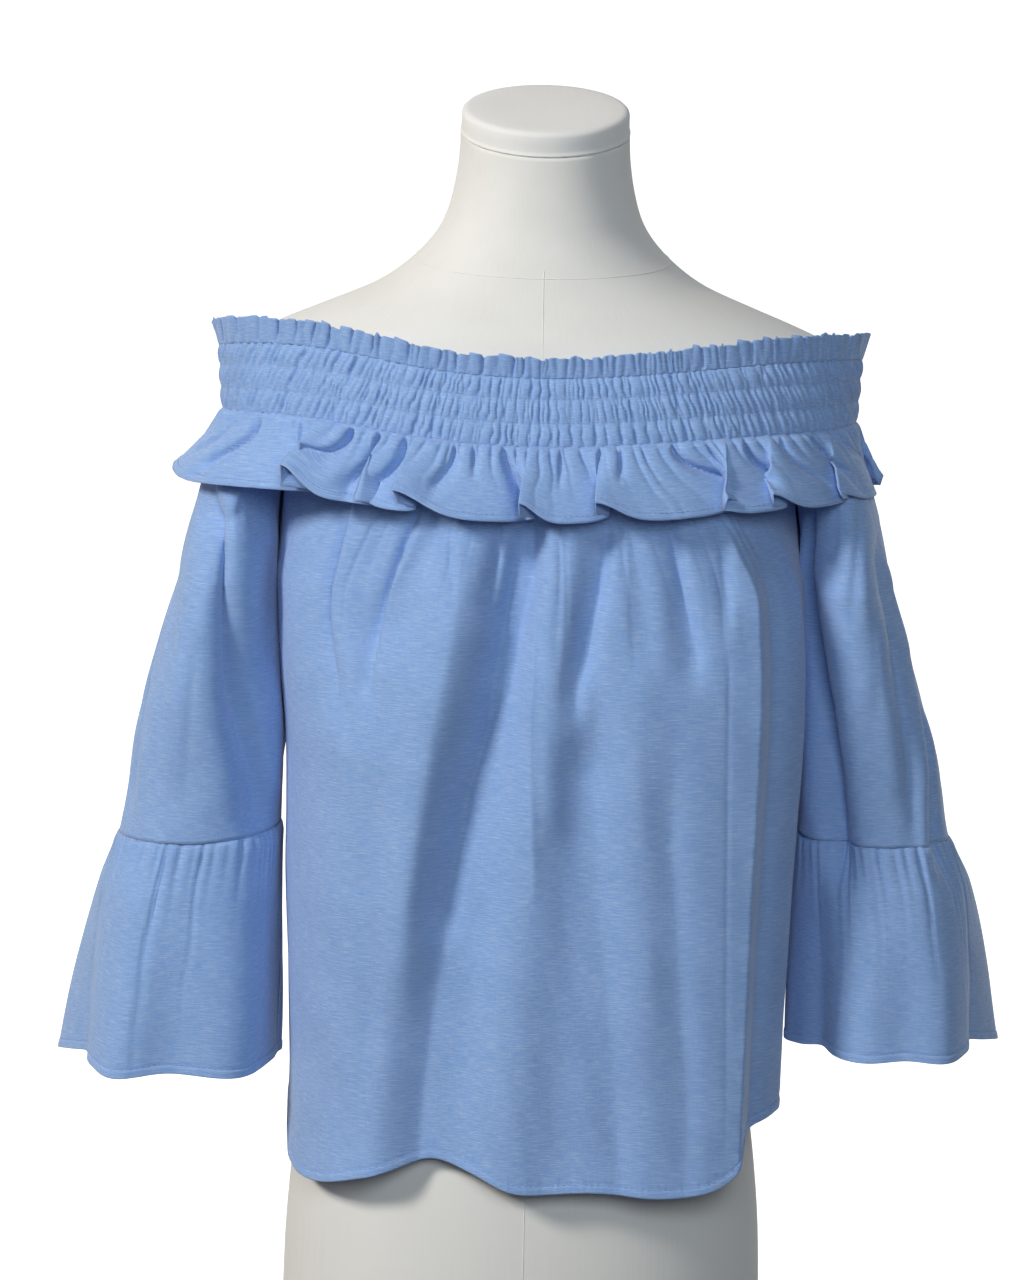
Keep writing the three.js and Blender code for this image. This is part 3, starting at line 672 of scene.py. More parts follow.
CHAMBRAY = chambray()
THREAD = thread()
JERSEY = jersey()
# The neck cap's knit is the form's knit made lighter all over, top and rim, as painted light: it stands in
# for light from above on the cap's top.
CAP_LIT_COVER = jersey("form_cap_lit_cloth", (0.84, 0.825, 0.805, 1), (0.79, 0.775, 0.755, 1))


# The dress form


def form_point(angle, z):
    side, front, back, lean = row_at(FORM_RINGS, "z", z, "side front back lean")
    x, y, nx, ny = outline(angle, side, front, back, FORM_ROUNDNESS)
    height = z + y * np.tan(lean * DEGREE)
    return np.stack(np.broadcast_arrays(x, y, height), -1), nx, ny


def form_torso():
    angle = np.linspace(-180, 180, FORM_COLUMNS + 1)[None, :]
    z = np.concatenate([np.linspace(0, 560, 50), np.linspace(566, NECK_TOP, 76)])[::-1][:, None]
    grid, _, _ = form_point(angle, z)
    middle = grid[-1].mean(0)
    base = np.stack([mix(grid[-1], middle, share) for share in (0.04, 0.5, 0.98)])
    base[..., 2] = 0
    crown = grid[0].mean(0)
    top = np.stack([mix(grid[0], crown, share) for share in (0.98, 0.5, 0.05)])
    full = np.concatenate([top, grid, base])
    down = -np.linspace(0, 768, len(full))[:, None]
    made = shell("dress_form", full, angle * WEAVE_ACROSS["form"], down, thickness=0)
    return finish_piece(made, JERSEY, "form_torso")


def form_seams():
    """Seams of the form's cover: down the front's middle, the back's middle and round the neck's foot."""
    lines = []
    for angle, low, high in ((0.5, 20, 688), (180, 20, 745), (92, 20, 640), (-92, 20, 640)):
        z = np.linspace(low, high, 120)
        point, nx, ny = form_point(np.full_like(z, angle), z)
        point[:, 0] += nx * 0.05
        point[:, 1] += ny * 0.05
        lines.append(tube(point, 0.24))
    angle = np.linspace(-180, 180, 121)
    z = 683 + 12 * (1 - np.cos(angle * DEGREE)) / 2
    point, nx, ny = form_point(angle, z)
    lines.append(tube(point, 0.3))
    made = joined("form_cover_seams", lines)
    return finish_piece(made, JERSEY)


def form_cap():
    """The neck's cap: a padded disc with a rolled edge over a welt."""
    tilt = NECK_TILT * DEGREE
    up = np.array([0, -math.sin(tilt), math.cos(tilt)])
    back = np.array([0, math.cos(tilt), math.sin(tilt)])
    foot = np.array([0, -CAP_FORWARD, NECK_TOP - CAP_FORWARD * math.tan(tilt)])
    profile = [(0.5, 16.1), (20, 16.1), (38, 16), (47, 15.8), (49.6, 15.3), (51, 14), (51.5, 12.4)]
    profile += [(51.5, 8), (51.5, 4), (51.6, 2.4), (52.2, 1.7), (52.2, 0.9), (51.4, 0.4)]
    profile += [(30, 0.4), (0.5, 0.4)]
    angle = np.linspace(0, 2 * math.pi, 97)
    rings = []
    for radius, height in profile:
        ring = foot + up * height + radius * np.cos(angle)[:, None] * -back
        ring[:, 0] += radius * np.sin(angle)
        rings.append(ring)
    grid = np.array(rings)
    made = shell("neck_cap", grid, grid[..., 0], grid[..., 1], thickness=0)
    # The cap wears the lighter knit, with painted light from above.
    return finish_piece(made, CAP_LIT_COVER, "form_neck_cap")


# The neck ring


def band_point(up, angle, outwards):
    """Points on the neck ring, moved outwards. up counts elastic rows."""
    side, front, back = row_at(BAND_RINGS, "up", up, "side front back")
    side_z, front_z, back_z = row_at(BAND_RINGS, "up", up, "sideZ frontZ backZ")
    x, y, nx, ny = outline(angle, side, front, back, FORM_ROUNDNESS)
    c = np.cos(angle * DEGREE)
    z = mix(side_z, np.where(c > 0, front_z, back_z), c * c)
    z = z + CORNER_RISE["height"] * bell((turned(angle) - CORNER_RISE["angle"]) / CORNER_RISE["width"])
    away = np.abs(turned(angle))
    before = TOP_TILT["rise"] * bell((away - TOP_TILT["before"]) / TOP_TILT["width"])
    behind = TOP_TILT["drop"] * bell((away - TOP_TILT["behind"]) / TOP_TILT["width"])
    z = z + (before - behind) * np.clip(up, 0, 4) / 4
    return np.stack(np.broadcast_arrays(x + nx * outwards, y + ny * outwards, z), -1)


def long_gathers(run, up):
    """Valleys that run through all the channels, slanting outwards towards the sides."""
    slant = LONG_GATHERS["lean"] * np.sin(run * DEGREE) * (up - 1.5) / 3
    snake = 0.45 * wander(up * 1.3 + run * 0.11, 3)
    drawn, _ = gathers(run + slant + snake, LONG_GATHERS["count"], 21, LONG_GATHERS["width"])
    return LONG_GATHERS["depth"] * drawn


def neck_band():
    """Three gathered channels between four elastic rows, over a plain inside."""
    run = (np.arange(BAND_COLUMNS) * 360 / BAND_COLUMNS - 180)[None, :]
    angle = angle_at_run(run)
    up = np.linspace(BAND_FOOT, BAND_TOP, BAND_LEVELS)[::-1][:, None]
    out = np.full(np.broadcast(angle, up).shape, BAND_ROW_OUT)
    row_pinch = sum(bell((up - row) / ROW_PINCH) for row in range(4))
    sideways = np.sin(run * DEGREE) ** 2
    width = CHANNEL_WIDTH + SIDE_WIDENING * sideways
    for c in range(3):
        inside = np.clip(up - c, 0, 1)
        within = np.sin(np.pi * inside) ** 0.6
        slant = CHANNELS["lean"][c] * np.sin(run * DEGREE) * (inside - 0.5)
        snake = 0.3 * wander(inside * 2.2 + run * 0.23, c + 1)
        drawn, _ = gathers(run + slant + snake, int(CHANNELS["count"][c]), c + 1, width)
        out += within * (BAND_PUFF + CHANNELS["depth"][c] * (1 + SIDE_DEEPENING * sideways) * drawn)
    shape = (1 - 0.55 * np.clip(row_pinch, 0, 1)) * np.clip((BAND_TOP - up) / 0.1 + 0.6, 0.6, 1)
    out += long_gathers(run, up) * shape
    grid = band_point(up, angle, out)
    inside_up = np.array([[BAND_FOOT], [1.5], [BAND_TOP]])
    grid = np.concatenate([grid, band_point(inside_up, angle, np.full((3, 1), BAND_INSIDE))])
    weave_down = np.concatenate([-ROW_HEIGHT * up, -ROW_HEIGHT * inside_up])
    made = shell("shirred_band", grid, run * WEAVE_ACROSS["band"], weave_down, thickness=0, closed=True)
    finish_piece(made, CHAMBRAY, "neck_band")
    elastic = []
    out_ways = normals(grid[:-3])
    for row in range(4):
        index = int(np.argmin(np.abs(up[:, 0] - row)))
        elastic += stitches(grid[index][::2], out_ways[index][::2], 1.9, 1.0, 0.2)
    return made, elastic


def neck_frill():
    """The ruffled edge above the first elastic row: flat scallops between sharp folds."""
    run = (np.linspace(0, 360, FRILL["columns"]) - 180)[None, :]
    angle = angle_at_run(run)
    up = np.linspace(FRILL["foot"], 4, FRILL["levels"])[::-1][:, None]
    above = np.clip(up - 3, 0, 1)
    slant = FRILL["lean"] * np.sin(run * DEGREE) * above
    place = run + slant + 0.25 * wander(run * 0.2 + above, 6)
    past, number = uneven_steps(place, FRILL["count"], 33, least=FRILL["least_step"])
    depth = 0.3 + 0.7 * uneven(number, 34)
    valley = depth * np.exp(-(np.abs(past / 0.1) ** 1.2))
    drawn, _ = gathers(run, int(CHANNELS["count"][2]), 3)
    near_row = np.exp(-above / 0.2)
    crown = (1 - np.abs(2 * past) ** 2.5) * (0.5 + uneven(number, 36))
    out = BAND_ROW_OUT + (FRILL["out"] * (0.5 + 0.5 * crown) - FRILL["depth"] * valley) * above**0.55
    out += near_row * (1.1 * drawn + 0.4)
    out += long_gathers(run, up) * (1 - above) ** 2 * 0.6
    lean = np.tanh((15 - run) / 25)
    turned_over = FRILL["overlap"] * depth * lean * bell((past + 0.15 * lean) / 0.11) * above**0.7
    grid = band_point(up, angle_at_run(run + turned_over), out)
    corner = bell(past / 0.09) * (0.2 + depth)
    tilted = FRILL["tilt"] * past * (2 * uneven(number, 37) - 0.6)
    uneven_top = 1.5 * uneven(number, 35) + 0.6 * wander(run * 0.2, 2) + tilted * (1 - bell(past / 0.16))
    grid[..., 2] += above * FRILL["side_height"] * np.sin(angle * DEGREE) ** 2
    grid[..., 2] -= above**4 * (FRILL["notch"] * corner + uneven_top)
    made = shell("neck_frill", grid, run * WEAVE_ACROSS["band"], -ROW_HEIGHT * up, thickness=FRILL["shell"])
    return finish_piece(made, CHAMBRAY)


def lobe_columns():
    """Columns of the neck flounce: where each lies at the seam and at the hem, how far out, how high."""
    starts = FLOUNCE_LOBES["start"]
    ends = np.append(starts[1:], starts[0] + 360)
    columns = []
    for start, swell, start_rise, end_rise, end in zip(*FLOUNCE_LOBES.values(), ends):
        count = max(FLOUNCE["least_columns"], round((end - start) * FLOUNCE["columns_per_degree"]))
        part = np.arange(count) / count
        onward = part < FLOUNCE["turn"]
        forward = np.where(onward, part / FLOUNCE["turn"], (1 - part) / (1 - FLOUNCE["turn"]))
        tuck = FLOUNCE["tuck"]
        there = np.where(
            onward,
            start - tuck + (end - start + 2 * tuck) * forward,
            end + tuck - 2 * tuck * (1 - forward),
        )
        out = np.where(onward, np.cos(forward * np.pi / 2) ** FLOUNCE["wave_curve"], 1 - forward)
        rise = start_rise * bell(part / 0.2) + end_rise * bell((1 - part) / 0.2)
        columns.append(np.stack([mix(start, end, part), there, swell * out, rise, swell + 0 * part], 0))
    return np.concatenate(columns, 1)


def flounce_folds(run, level):
    """Long S-shaped valleys of the neck flounce: the front's by the table, and like ones over the back."""
    total = 0
    turn = ease(level) - 0.08 * np.sin(2 * np.pi * level)
    for top_x, foot_x, depth, width, reach in zip(*FLOUNCE_FOLDS.values()):
        at = mix(run_at_x(top_x), run_at_x(foot_x), turn)
        half = (0.22 + 0.95 * level) * width / RUN_DEGREE
        shape = np.exp(-(np.abs((run - at) / half) ** 1.2))
        total = total + depth * shape * ease(level / 0.15) * ease((reach - level) / 0.35 + 0.15)
    for k in range(22):
        start = 95 + k * 8.2 + 3 * uneven(k, 51)
        at = start + (3 * uneven(k, 52) - 1.5 + 3 * np.sign(180 - start)) * turn
        shape = np.exp(-(np.abs(turned(run - at) / (0.9 + 0.8 * level)) ** 1.2))
        depth = 2.5 + 3.5 * uneven(k, 53)
        total = total + depth * shape * ease(level / 0.15) * ease((1.1 - level) / 0.35)
    return total


def neck_flounce():
    straight, there, out, rise, swell = lobe_columns()
    level = np.linspace(0, 1, FLOUNCE["levels"])[:, None] ** 1.15
    angle = mix(straight, there, ease(level))
    wave = (FLOUNCE["wave"] * out - FLOUNCE["hollow"] * swell) * level
    run = run_at(straight)
    slant = FLOUNCE["gather_lean"] * np.sin(run * DEGREE) * level
    winding = 0.9 * wander(level * 2.6 + run * 0.05, 3)
    drawn, number = gathers(run - slant + winding * level, FLOUNCE["gathers"], 11, 0.13 + 0.1 * level)
    fading = 0.9 + 5.5 * uneven(number, 12) ** 1.3
    drawn = FLOUNCE["gather_depth"] * drawn * np.exp(-level * fading) * (0.25 + ease(level / 0.12))
    drawn -= FLOUNCE["fold_share"] * flounce_folds(run, level)
    away = turned(straight)
    narrow = 1 - FLOUNCE["narrow_share"] * bell((away - FLOUNCE["narrow_at"]) / FLOUNCE["narrow_width"])
    curve = FLOUNCE["flare_curve"] + 0.6 * bell((np.abs(away) - 92) / 24)
    flare = FLOUNCE["flare"] * narrow * level**curve
    wave = wave * (0.4 + 0.6 * narrow)
    turned_hem = 0.45 * ease((level - 0.905) / 0.015) - 0.4 * bell((level - 0.9) / 0.012)
    seam_out = BAND_ROW_OUT + 0.15 + (LAYER_GAP + SHELL_OUT) * ease(level / 0.1)
    puff = 1.7 * ease(level / 0.1) * np.exp(-level / 0.25)
    outwards = seam_out + flare + wave + drawn + puff + turned_hem
    grid = band_point(np.zeros(1), angle, outwards)
    grid[..., 2] += 0.9 - (FLOUNCE["length"] + HANG_GAP + 0.9 - rise) * level
    grid = np.concatenate([grid, grid[:, :1]], 1)
    around = np.append(straight, straight[0] + 360)
    made = shell("neck_flounce_cloth", grid, around * WEAVE_ACROSS["flounce"], FLOUNCE["cut_length"] * level)
    finish_piece(made, CHAMBRAY, "neck_flounce")
    row = int(np.argmin(np.abs(level - 0.9)))
    return made, stitches(grid[row][::2], normals(grid)[row][::2])


# Front and back


# Creases on the front: where each runs as (x, z) points, its half width on the right, its depth, and how
# many times as wide its left side is. Most fall in gently from the left and step out sharply on the right.
FRONT_CREASES = (
    (((-113, 556), (-119, 526), (-123, 496), (-124, 470), (-119, 436)), 3.4, 10.5, 2.8),
    (((-68, 556), (-77, 529), (-86, 502), (-94, 467), (-99, 440)), 3.6, 12.5, 3.0),
    (((-48, 556), (-52, 526), (-50, 500)), 3.0, 4.5, 2.0),
    (((-24, 552), (-23, 520), (-27, 492)), 3.4, 6.5, 2.4),
    (((-3, 566), (-2, 530), (-1, 498)), 3.0, 9.5, 2.2),
    (((-4, 530), (-9, 490), (-20, 443), (-31, 398), (-42, 355), (-50, 300)), 9.0, 13.0, 1.55),
    (((-1, 540), (-1, 460), (-2, 400), (2, 320)), 3.6, -3.0, 1.0),
    (((9, 556), (14, 512), (12, 462)), 4.0, 3.4, 1.4),
    (((44, 556), (41, 516), (33, 468), (25, 435)), 4.5, 9.0, 2.2),
    (((50, 556), (54, 516), (55, 470)), 6.0, -2.0, 1.0),
    (((80, 558), (84, 520), (90, 490), (97, 462)), 4.0, 8.0, 2.4),
    (((108, 558), (113, 520), (115, 490)), 3.4, 6.5, 2.2),
    (((122, 558), (127, 520)), 3.0, 2.4, 1.6),
    (((117, 440), (119, 330), (123, 165)), 1.8, 0.7, 1.0),
)

# Broad soft folds lower down, in the same way
LOW_FOLDS = (
    (((-42, 350), (-53, 280), (-62, 200), (-66, 150)), 12.0, 9.0, 2.0),
    (((36, 380), (40, 330), (50, 220), (56, 160)), 13.0, 6.0, 1.8),
    (((-92, 320), (-97, 230), (-104, 170)), 10.0, 4.6, 2.2),
    (((84, 340), (92, 250), (98, 170)), 9.0, 3.6, 2.0),
    (((-50, 470), (-62, 400), (-75, 300)), 15.0, -9.0, 1.6),
    (((62, 440), (66, 360), (74, 280)), 16.0, -3.0, 1.0),
)
LOW_FOLD_FADE = 90

# Creases on the front half of each sleeve, in the same way
SLEEVE_CREASES = {
    "right": (
        (((-199, 528), (-191, 508), (-187, 470), (-183, 420), (-170, 347)), 6.6, 10.5, 1.1),
        (((-164, 500), (-165, 440), (-163, 380)), 5.0, 1.6, 1.0),
        (((-208, 440), (-212, 390), (-214, 345)), 9.0, 2.2, 0.9),
        (((-222, 470), (-228, 420), (-233, 370)), 6.0, 1.8, 0.8),
    ),
    "left": (
        (((213, 510), (222, 455), (231, 398), (240, 331)), 3.4, 6.0, 2.2),
        (((197, 552), (195, 520), (192, 487)), 4.5, 3.8, 0.6),
        (((206, 500), (209, 440), (214, 380)), 9.0, 1.5, 0.9),
        (((234, 450), (244, 400), (252, 350)), 4.5, 2.4, 0.6),
        (((171, 480), (172, 430), (173, 380)), 4.0, 1.6, 0.9),
    ),
}


# A short crease that curls under the flounce on the wearer's right sleeve
SWAG = {"path": ((-171, 556), (-174, 540), (-183, 530), (-193, 527), (-201, 527)), "width": 6, "depth": 5.5}

# The side panel falls back beyond the pressed crease, with one more soft fold on it.
SIDE_STEP = {"angle": 57.5, "width": 3.8, "depth": 7.5}
SIDE_FOLD = {"angle": 68, "width": 3, "height": 2.4}

# Folds over the back half, of the body and of a sleeve: where each is at the top, how many degrees it leans
# for 100 mm down, and its depth
BACK_FOLDS = ((128, 4, 3.4), (140, -3, 4.2), (163, 2, 4.6), (197, -3, 4.8), (220, 3, 4.0), (233, -2, 3.4))
SLEEVE_BACK_FOLDS = ((128, -6, 3.0), (150, -10, 4.0), (196, 8, 3.6), (222, 6, 3.0))

# Gathers below the neck ring: each fades out over its own length, from the shortest up to as much more
BODY_GATHERS = {"count": 84, "width": 0.15, "depth": 3.8, "top": 572, "shortest": 9, "more": 46}
SLEEVE_GATHERS = {"count": 36, "width": 0.2, "depth": 3.2, "top": 576, "shortest": 9, "more": 40}

# The turned hem of front and back: its height, how far it stands out, its stitched dent, and the rows of its
# mesh, which start at a share of the way down
HEM_HEIGHT = 5.4
HEM_OUT = 0.5
HEM_DENT = 0.45
HEM_EDGE = 0.9
HEM_ROWS = 13
HEM_FROM = 0.965


def distance_to(x, z, path):
    """The distance of each place to a path of straight stretches."""
    nearest = np.full(np.broadcast(x, z).shape, 1e9)
    for (x0, z0), (x1, z1) in zip(path, path[1:]):
        dx, dz = x1 - x0, z1 - z0
        share = np.clip(((x - x0) * dx + (z - z0) * dz) / (dx * dx + dz * dz), 0, 1)
        nearest = np.minimum(nearest, np.hypot(x - x0 - share * dx, z - z0 - share * dz))
    return nearest


def crease_depth(x, z, path, width, depth, left_share, crispness=0.5, fade=26):
    """How deep a crease is at x and z. It is crispest at its top, and fades out past each end of its path.

    One with no crispness is as deep at its foot as at its top.
    """
    xs, zs = np.array(path, float)[::-1].T
    at = along({"z": zs, "x": xs}, "z", "x", z)
    reach = ease((z - zs[0] + fade) / fade) * ease((zs[-1] + fade - z) / fade)
    growth = ease((z - zs[0] + fade) / (0.7 * (zs[-1] - zs[0]) + fade)) if crispness else 1
    aside = x - at
    half = np.where(aside < 0, width * left_share, width)
    soft = np.exp(-(np.abs(aside / half) ** 1.7))
    crisp = np.exp(-(np.abs(3 * aside / half)))
    share = crispness * ease((growth - 0.35) / 0.5)
    return depth * mix(soft, crisp, share) * reach * (0.35 + 0.65 * growth)


def fading_gathers(kind, place, z, seed, length_seed, whole):
    """Gathers below the neck ring, as on each side of the raglan seams."""
    drawn, number = gathers(place, kind["count"], seed, kind["width"], whole)
    length = kind["shortest"] + kind["more"] * uneven(number, length_seed) ** 1.5
    return kind["depth"] * drawn * np.exp(-np.maximum(kind["top"] - z, 0) / length)


def body_base(angle, z):
    """The body's outline below the underarm, with its main folds and its pressed crease."""
    angle = turned(angle)
    left, right, front, back = row_at(BODY_RINGS, "z", z, "left right front back")
    forward = ease((np.cos(angle * DEGREE) + ROUNDNESS_SIDE) / (2 * ROUNDNESS_SIDE))
    rounded, squared = BODY_ROUNDNESS["left"], BODY_ROUNDNESS["front_right"]
    side_roundness = mix(rounded, squared, ease(angle / ROUNDNESS_TURN))
    roundness = mix(BODY_ROUNDNESS["back"], side_roundness, forward)
    x, y, nx, ny = outline(angle, np.where(angle < 0, left, right), front, back, roundness)
    crease = CREASE["height"] * np.exp(-np.abs(angle - CREASE["angle"]) / CREASE["width"])
    folds = fold_depth(BODY_FOLDS, angle, z, BODY_FOLD_EASE)
    outwards = crease * ease((CREASE["top"] - z) / CREASE["fade"]) - folds
    return x, y, nx, ny, outwards


def body_detail(angle, z, x):
    """Creases, gathers and slight unevenness of the body's cloth, outwards."""
    angle = turned(angle)
    forward = ease(np.cos(angle * DEGREE) / 0.3)
    detail = np.zeros(np.broadcast(angle, z).shape)
    for crease in FRONT_CREASES:
        detail -= forward * crease_depth(x, z, *crease)
    for fold in LOW_FOLDS:
        detail -= forward * crease_depth(x, z, *fold, 0, LOW_FOLD_FADE)
    wound = angle + 1.5 * wander((560 - z) * 0.01 + angle * 0.05, 4)
    detail += fading_gathers(BODY_GATHERS, wound, z, 14, 15, 360.0)
    behind = ease(-np.cos(angle * DEGREE) / 0.3)
    for at, lean, depth in BACK_FOLDS:
        way = turned(angle - at - lean * (540 - z) / 100)
        detail -= behind * depth * bell(way / 1.7) * ease((z - 410) / 110)
    detail += 0.55 * wander(angle * 0.055 + z * 0.004, 6) * ease((560 - z) / 60)
    detail += 0.3 * wander(angle * 0.16 + z * 0.017, 8) * ease((560 - z) / 60)
    pressed = np.exp(-np.abs(angle - CREASE["angle"]) / 1.6)
    detail += 1.3 * pressed * ease((540 - z) / 60) * (1 + 0.35 * wander(z * 0.09, 5))
    beyond = SIDE_STEP["depth"] * bell((angle - SIDE_STEP["angle"]) / SIDE_STEP["width"])
    side_fold = SIDE_FOLD["height"] * bell((angle - SIDE_FOLD["angle"]) / SIDE_FOLD["width"])
    detail += (side_fold - beyond) * ease((545 - z) / 50)
    beside_sleeve = bell((np.abs(angle) - 88) / 20)
    detail += 0.9 * beside_sleeve * bell((z - 440) / 90)
    return detail


def body_point(angle, z, seen_x=None):
    """Points of the body's cloth. seen_x is where it lies in the end, if that isn't its loose place."""
    x, y, nx, ny, outwards = body_base(angle, z)
    outwards = outwards + SHELL_OUT + body_detail(angle, z, x if seen_x is None else seen_x)
    return np.stack(np.broadcast_arrays(x + nx * outwards, y + ny * outwards, z), -1)


def clear_of_form(points):
    """Points moved out where they would come closer to the form than a clearance, with a soft bend."""
    x, y, z = points[..., 0], points[..., 1], points[..., 2]
    form, _, _ = form_point(np.arctan2(x, -y) / DEGREE, z)
    radius = np.hypot(x, y)
    apart = radius - np.hypot(form[..., 0], form[..., 1]) - FORM_CLEARANCE
    moved = (np.sqrt(apart * apart + 1) - apart) / 2
    factor = (1 + moved / radius)[..., None]
    return np.concatenate([points[..., :2] * factor, points[..., 2:]], -1)


def hung_from_ring(ring_angle, rows, loose_point):
    """Cloth from the neck ring to the underarm, which leaves the ring's outline for its own on the way.

    loose_point gives the cloth's loose place at a height and, once it is known, where its x will be.
    """
    down = np.linspace(0, 1, rows)[:-1, None]
    ring = band_point(np.zeros(1), ring_angle, CLOTH / 2)
    ring[..., 2] -= HANG_GAP
    z = mix(ring[..., 2], UNDERARM_Z, down)
    share = 1 - (1 - down[..., None]) ** LOOSENING_CURVE
    seen_x = mix(ring, loose_point(z, None), share)[..., 0]
    upper = mix(ring, loose_point(z, seen_x), share)
    upper[..., 2] = z
    return upper, share


def even_columns(first, last, count, front_share):
    """Angles spaced by the cloth's breadth, and closer by front_share over the front."""
    fine = np.linspace(first, last, 721)
    x, y = body_base(fine, np.full_like(fine, 450))[:2]
    middle = (fine[1:] + fine[:-1]) / 2
    breadth = np.hypot(np.diff(x), np.diff(y)) * np.where(np.abs(turned(middle)) < 58, 1, front_share)
    run = np.concatenate([[0], np.cumsum(breadth)])
    return np.interp(np.linspace(0, run[-1], count), run, fine)[None, :]


def panel(name, piece, ring_span, body_span, columns, upper_rows, lower_rows, front_share=1.0):
    gap = SEAM_GAP / 2 / SEAM_RADIUS / DEGREE
    angle = even_columns(body_span[0] + gap, body_span[1] - gap, columns, front_share)
    u = (angle - body_span[0]) / (body_span[1] - body_span[0])
    ring_angle = mix(ring_span[0], ring_span[1], u)
    upper, _ = hung_from_ring(ring_angle, upper_rows, lambda z, seen_x: body_point(angle, z, seen_x))
    hem = along(HEM, "angle", "z", turned(angle))
    above_rows = np.linspace(0, HEM_FROM - 0.003, lower_rows - HEM_ROWS)
    fall = np.concatenate([above_rows, np.linspace(HEM_FROM, 1, HEM_ROWS)])[:, None]
    z = mix(UNDERARM_Z, hem, fall)
    lower = body_point(angle, z, body_point(angle, z)[..., 0])
    above_hem = z - hem
    pucker = 0.26 * wander(angle * 1.7, 31) * bell((above_hem - 5) / 6)
    stitched = HEM_DENT * bell((above_hem - HEM_HEIGHT) / HEM_EDGE)
    turned_hem = HEM_OUT * ease((HEM_HEIGHT + 0.4 - above_hem) / HEM_EDGE) - stitched + pucker
    lower += normals(lower) * turned_hem[..., None]
    grid = clear_of_form(np.concatenate([upper, lower]))
    made = shell(name, grid, angle * WEAVE_ACROSS["panel"], -grid[..., 2])
    finish_piece(made, CHAMBRAY, piece)
    height = grid[..., 2] - hem
    row = np.argmin(np.abs(height - HEM_HEIGHT), axis=0)
    picks = np.arange(columns)
    return made, stitches(grid[row, picks], normals(grid)[row, picks])


# Sleeves


def sleeve_angle(around):
    return -90 + 360 * around


def sleeve_outline(sleeve, around, z):
    """A sleeve's bare outline, and its outward normals, with x growing away from the body."""
    inner, outer, front, back = row_at(sleeve["rings"], "z", z, "inner outer front back")
    x, y, nx, ny = outline(sleeve_angle(around), (outer - inner) / 2, front, back, SLEEVE_ROUNDNESS)
    return (inner + outer) / 2 + x, y, nx, ny


def sleeve_point(sleeve, around, z, extra=0.0):
    """Points of a sleeve. around runs from the underarm seam over the front and the outside to the back."""
    x, y, nx, ny = sleeve_outline(sleeve, around, z)
    folds = fold_depth(sleeve["folds"], sleeve_angle(around), z, SLEEVE_FOLD_EASE)
    outwards = SHELL_OUT + extra - folds
    across = sleeve["side"] * (x + nx * outwards)
    return np.stack(np.broadcast_arrays(across, y + ny * outwards, z), -1)


def seam_height(sleeve, around):
    angle = sleeve_angle(around) * DEGREE
    front_z, inner_rise, back_rise = sleeve["seam"]
    return front_z + inner_rise * np.maximum(-np.sin(angle), 0) + back_rise * np.maximum(-np.cos(angle), 0)


def sleeve_detail(which, around, z, seen_x):
    """Gathers below the neck ring, puckers over the flounce's seam, creases and slack, outwards."""
    sleeve = SLEEVES[which]
    side = sleeve["side"]
    seed = 20 + side
    angle = sleeve_angle(around)
    wound = around + 0.003 * wander((560 - z) * 0.02 + around * 9, seed)
    detail = fading_gathers(SLEEVE_GATHERS, wound, z, seed, seed, 1.0)
    foot = seam_height(sleeve, around)
    small, _ = gathers(around, 60, seed + 2, 0.26, 1.0)
    detail += 0.8 * small * np.exp(-np.maximum(z - foot, 0) / 6)
    forward = ease(np.cos(angle * DEGREE) / 0.25)
    for crease in SLEEVE_CREASES[which]:
        detail -= forward * crease_depth(seen_x, z, *crease)
    if which == "right":
        away = distance_to(seen_x, z, SWAG["path"])
        detail -= forward * SWAG["depth"] * np.exp(-((away / SWAG["width"]) ** 1.6))
    detail += 3.5 * bell((angle + 55) / 18) * ease((550 - z) / 40)
    behind = ease(-np.cos(angle * DEGREE) / 0.25)
    for at, lean, depth in SLEEVE_BACK_FOLDS:
        way = turned(angle - at - lean * (520 - z) / 100)
        detail -= behind * depth * bell(way / 5) * ease((z - 340) / 120)
    slack = 0.9 * wander(around * 7 + z * 0.012, seed + 3) + 0.4 * wander(around * 19 - z * 0.03, seed + 4)
    detail += slack * ease((575 - z) / 50)
    detail += 0.8 * bell(turned(angle + 90) / 35) * bell((z - 440) / 80)
    back_fold = bell(turned(angle + 128) / 13) * ease((z - 345) / 60) * ease((520 - z) / 60)
    return (detail + 9 * back_fold) * (0.2 + 0.8 * ease((z - foot) / 28))


def sleeve_cloth(which):
    sleeve = SLEEVES[which]
    around = np.linspace(SLEEVE_EDGE, 1 - SLEEVE_EDGE, SLEEVE_COLUMNS)[None, :]
    ring_gap = SEAM_GAP / SEAM_RADIUS / DEGREE
    ring_angle = sleeve["side"] * mix(RAGLAN_FRONT + ring_gap, RAGLAN_BACK - ring_gap, around)

    def loose_point(z, seen_x):
        extra = 0.0 if seen_x is None else sleeve_detail(which, around, z, seen_x)
        return sleeve_point(sleeve, around, z, extra)

    upper, share = hung_from_ring(ring_angle, SLEEVE_UPPER_ROWS, loose_point)
    near_seam = bell(np.minimum(around, 1 - around) / 0.05)
    upper[..., 0] += sleeve["side"] * 3.2 * (share * (1 - share))[..., 0] * near_seam
    fall = np.linspace(0, 1, SLEEVE_LOWER_ROWS)[:, None]
    foot = seam_height(sleeve, around) + SEAM_GAP / 2
    z = mix(UNDERARM_Z, foot, fall)
    lower = loose_point(z, loose_point(z, None)[..., 0])
    grid = np.concatenate([upper, lower])
    across = around * WEAVE_ACROSS["sleeve"]
    made = shell(f"sleeve_{which}_cloth", grid, across, -grid[..., 2], sleeve["side"])
    return finish_piece(made, CHAMBRAY, f"sleeve_{which}")


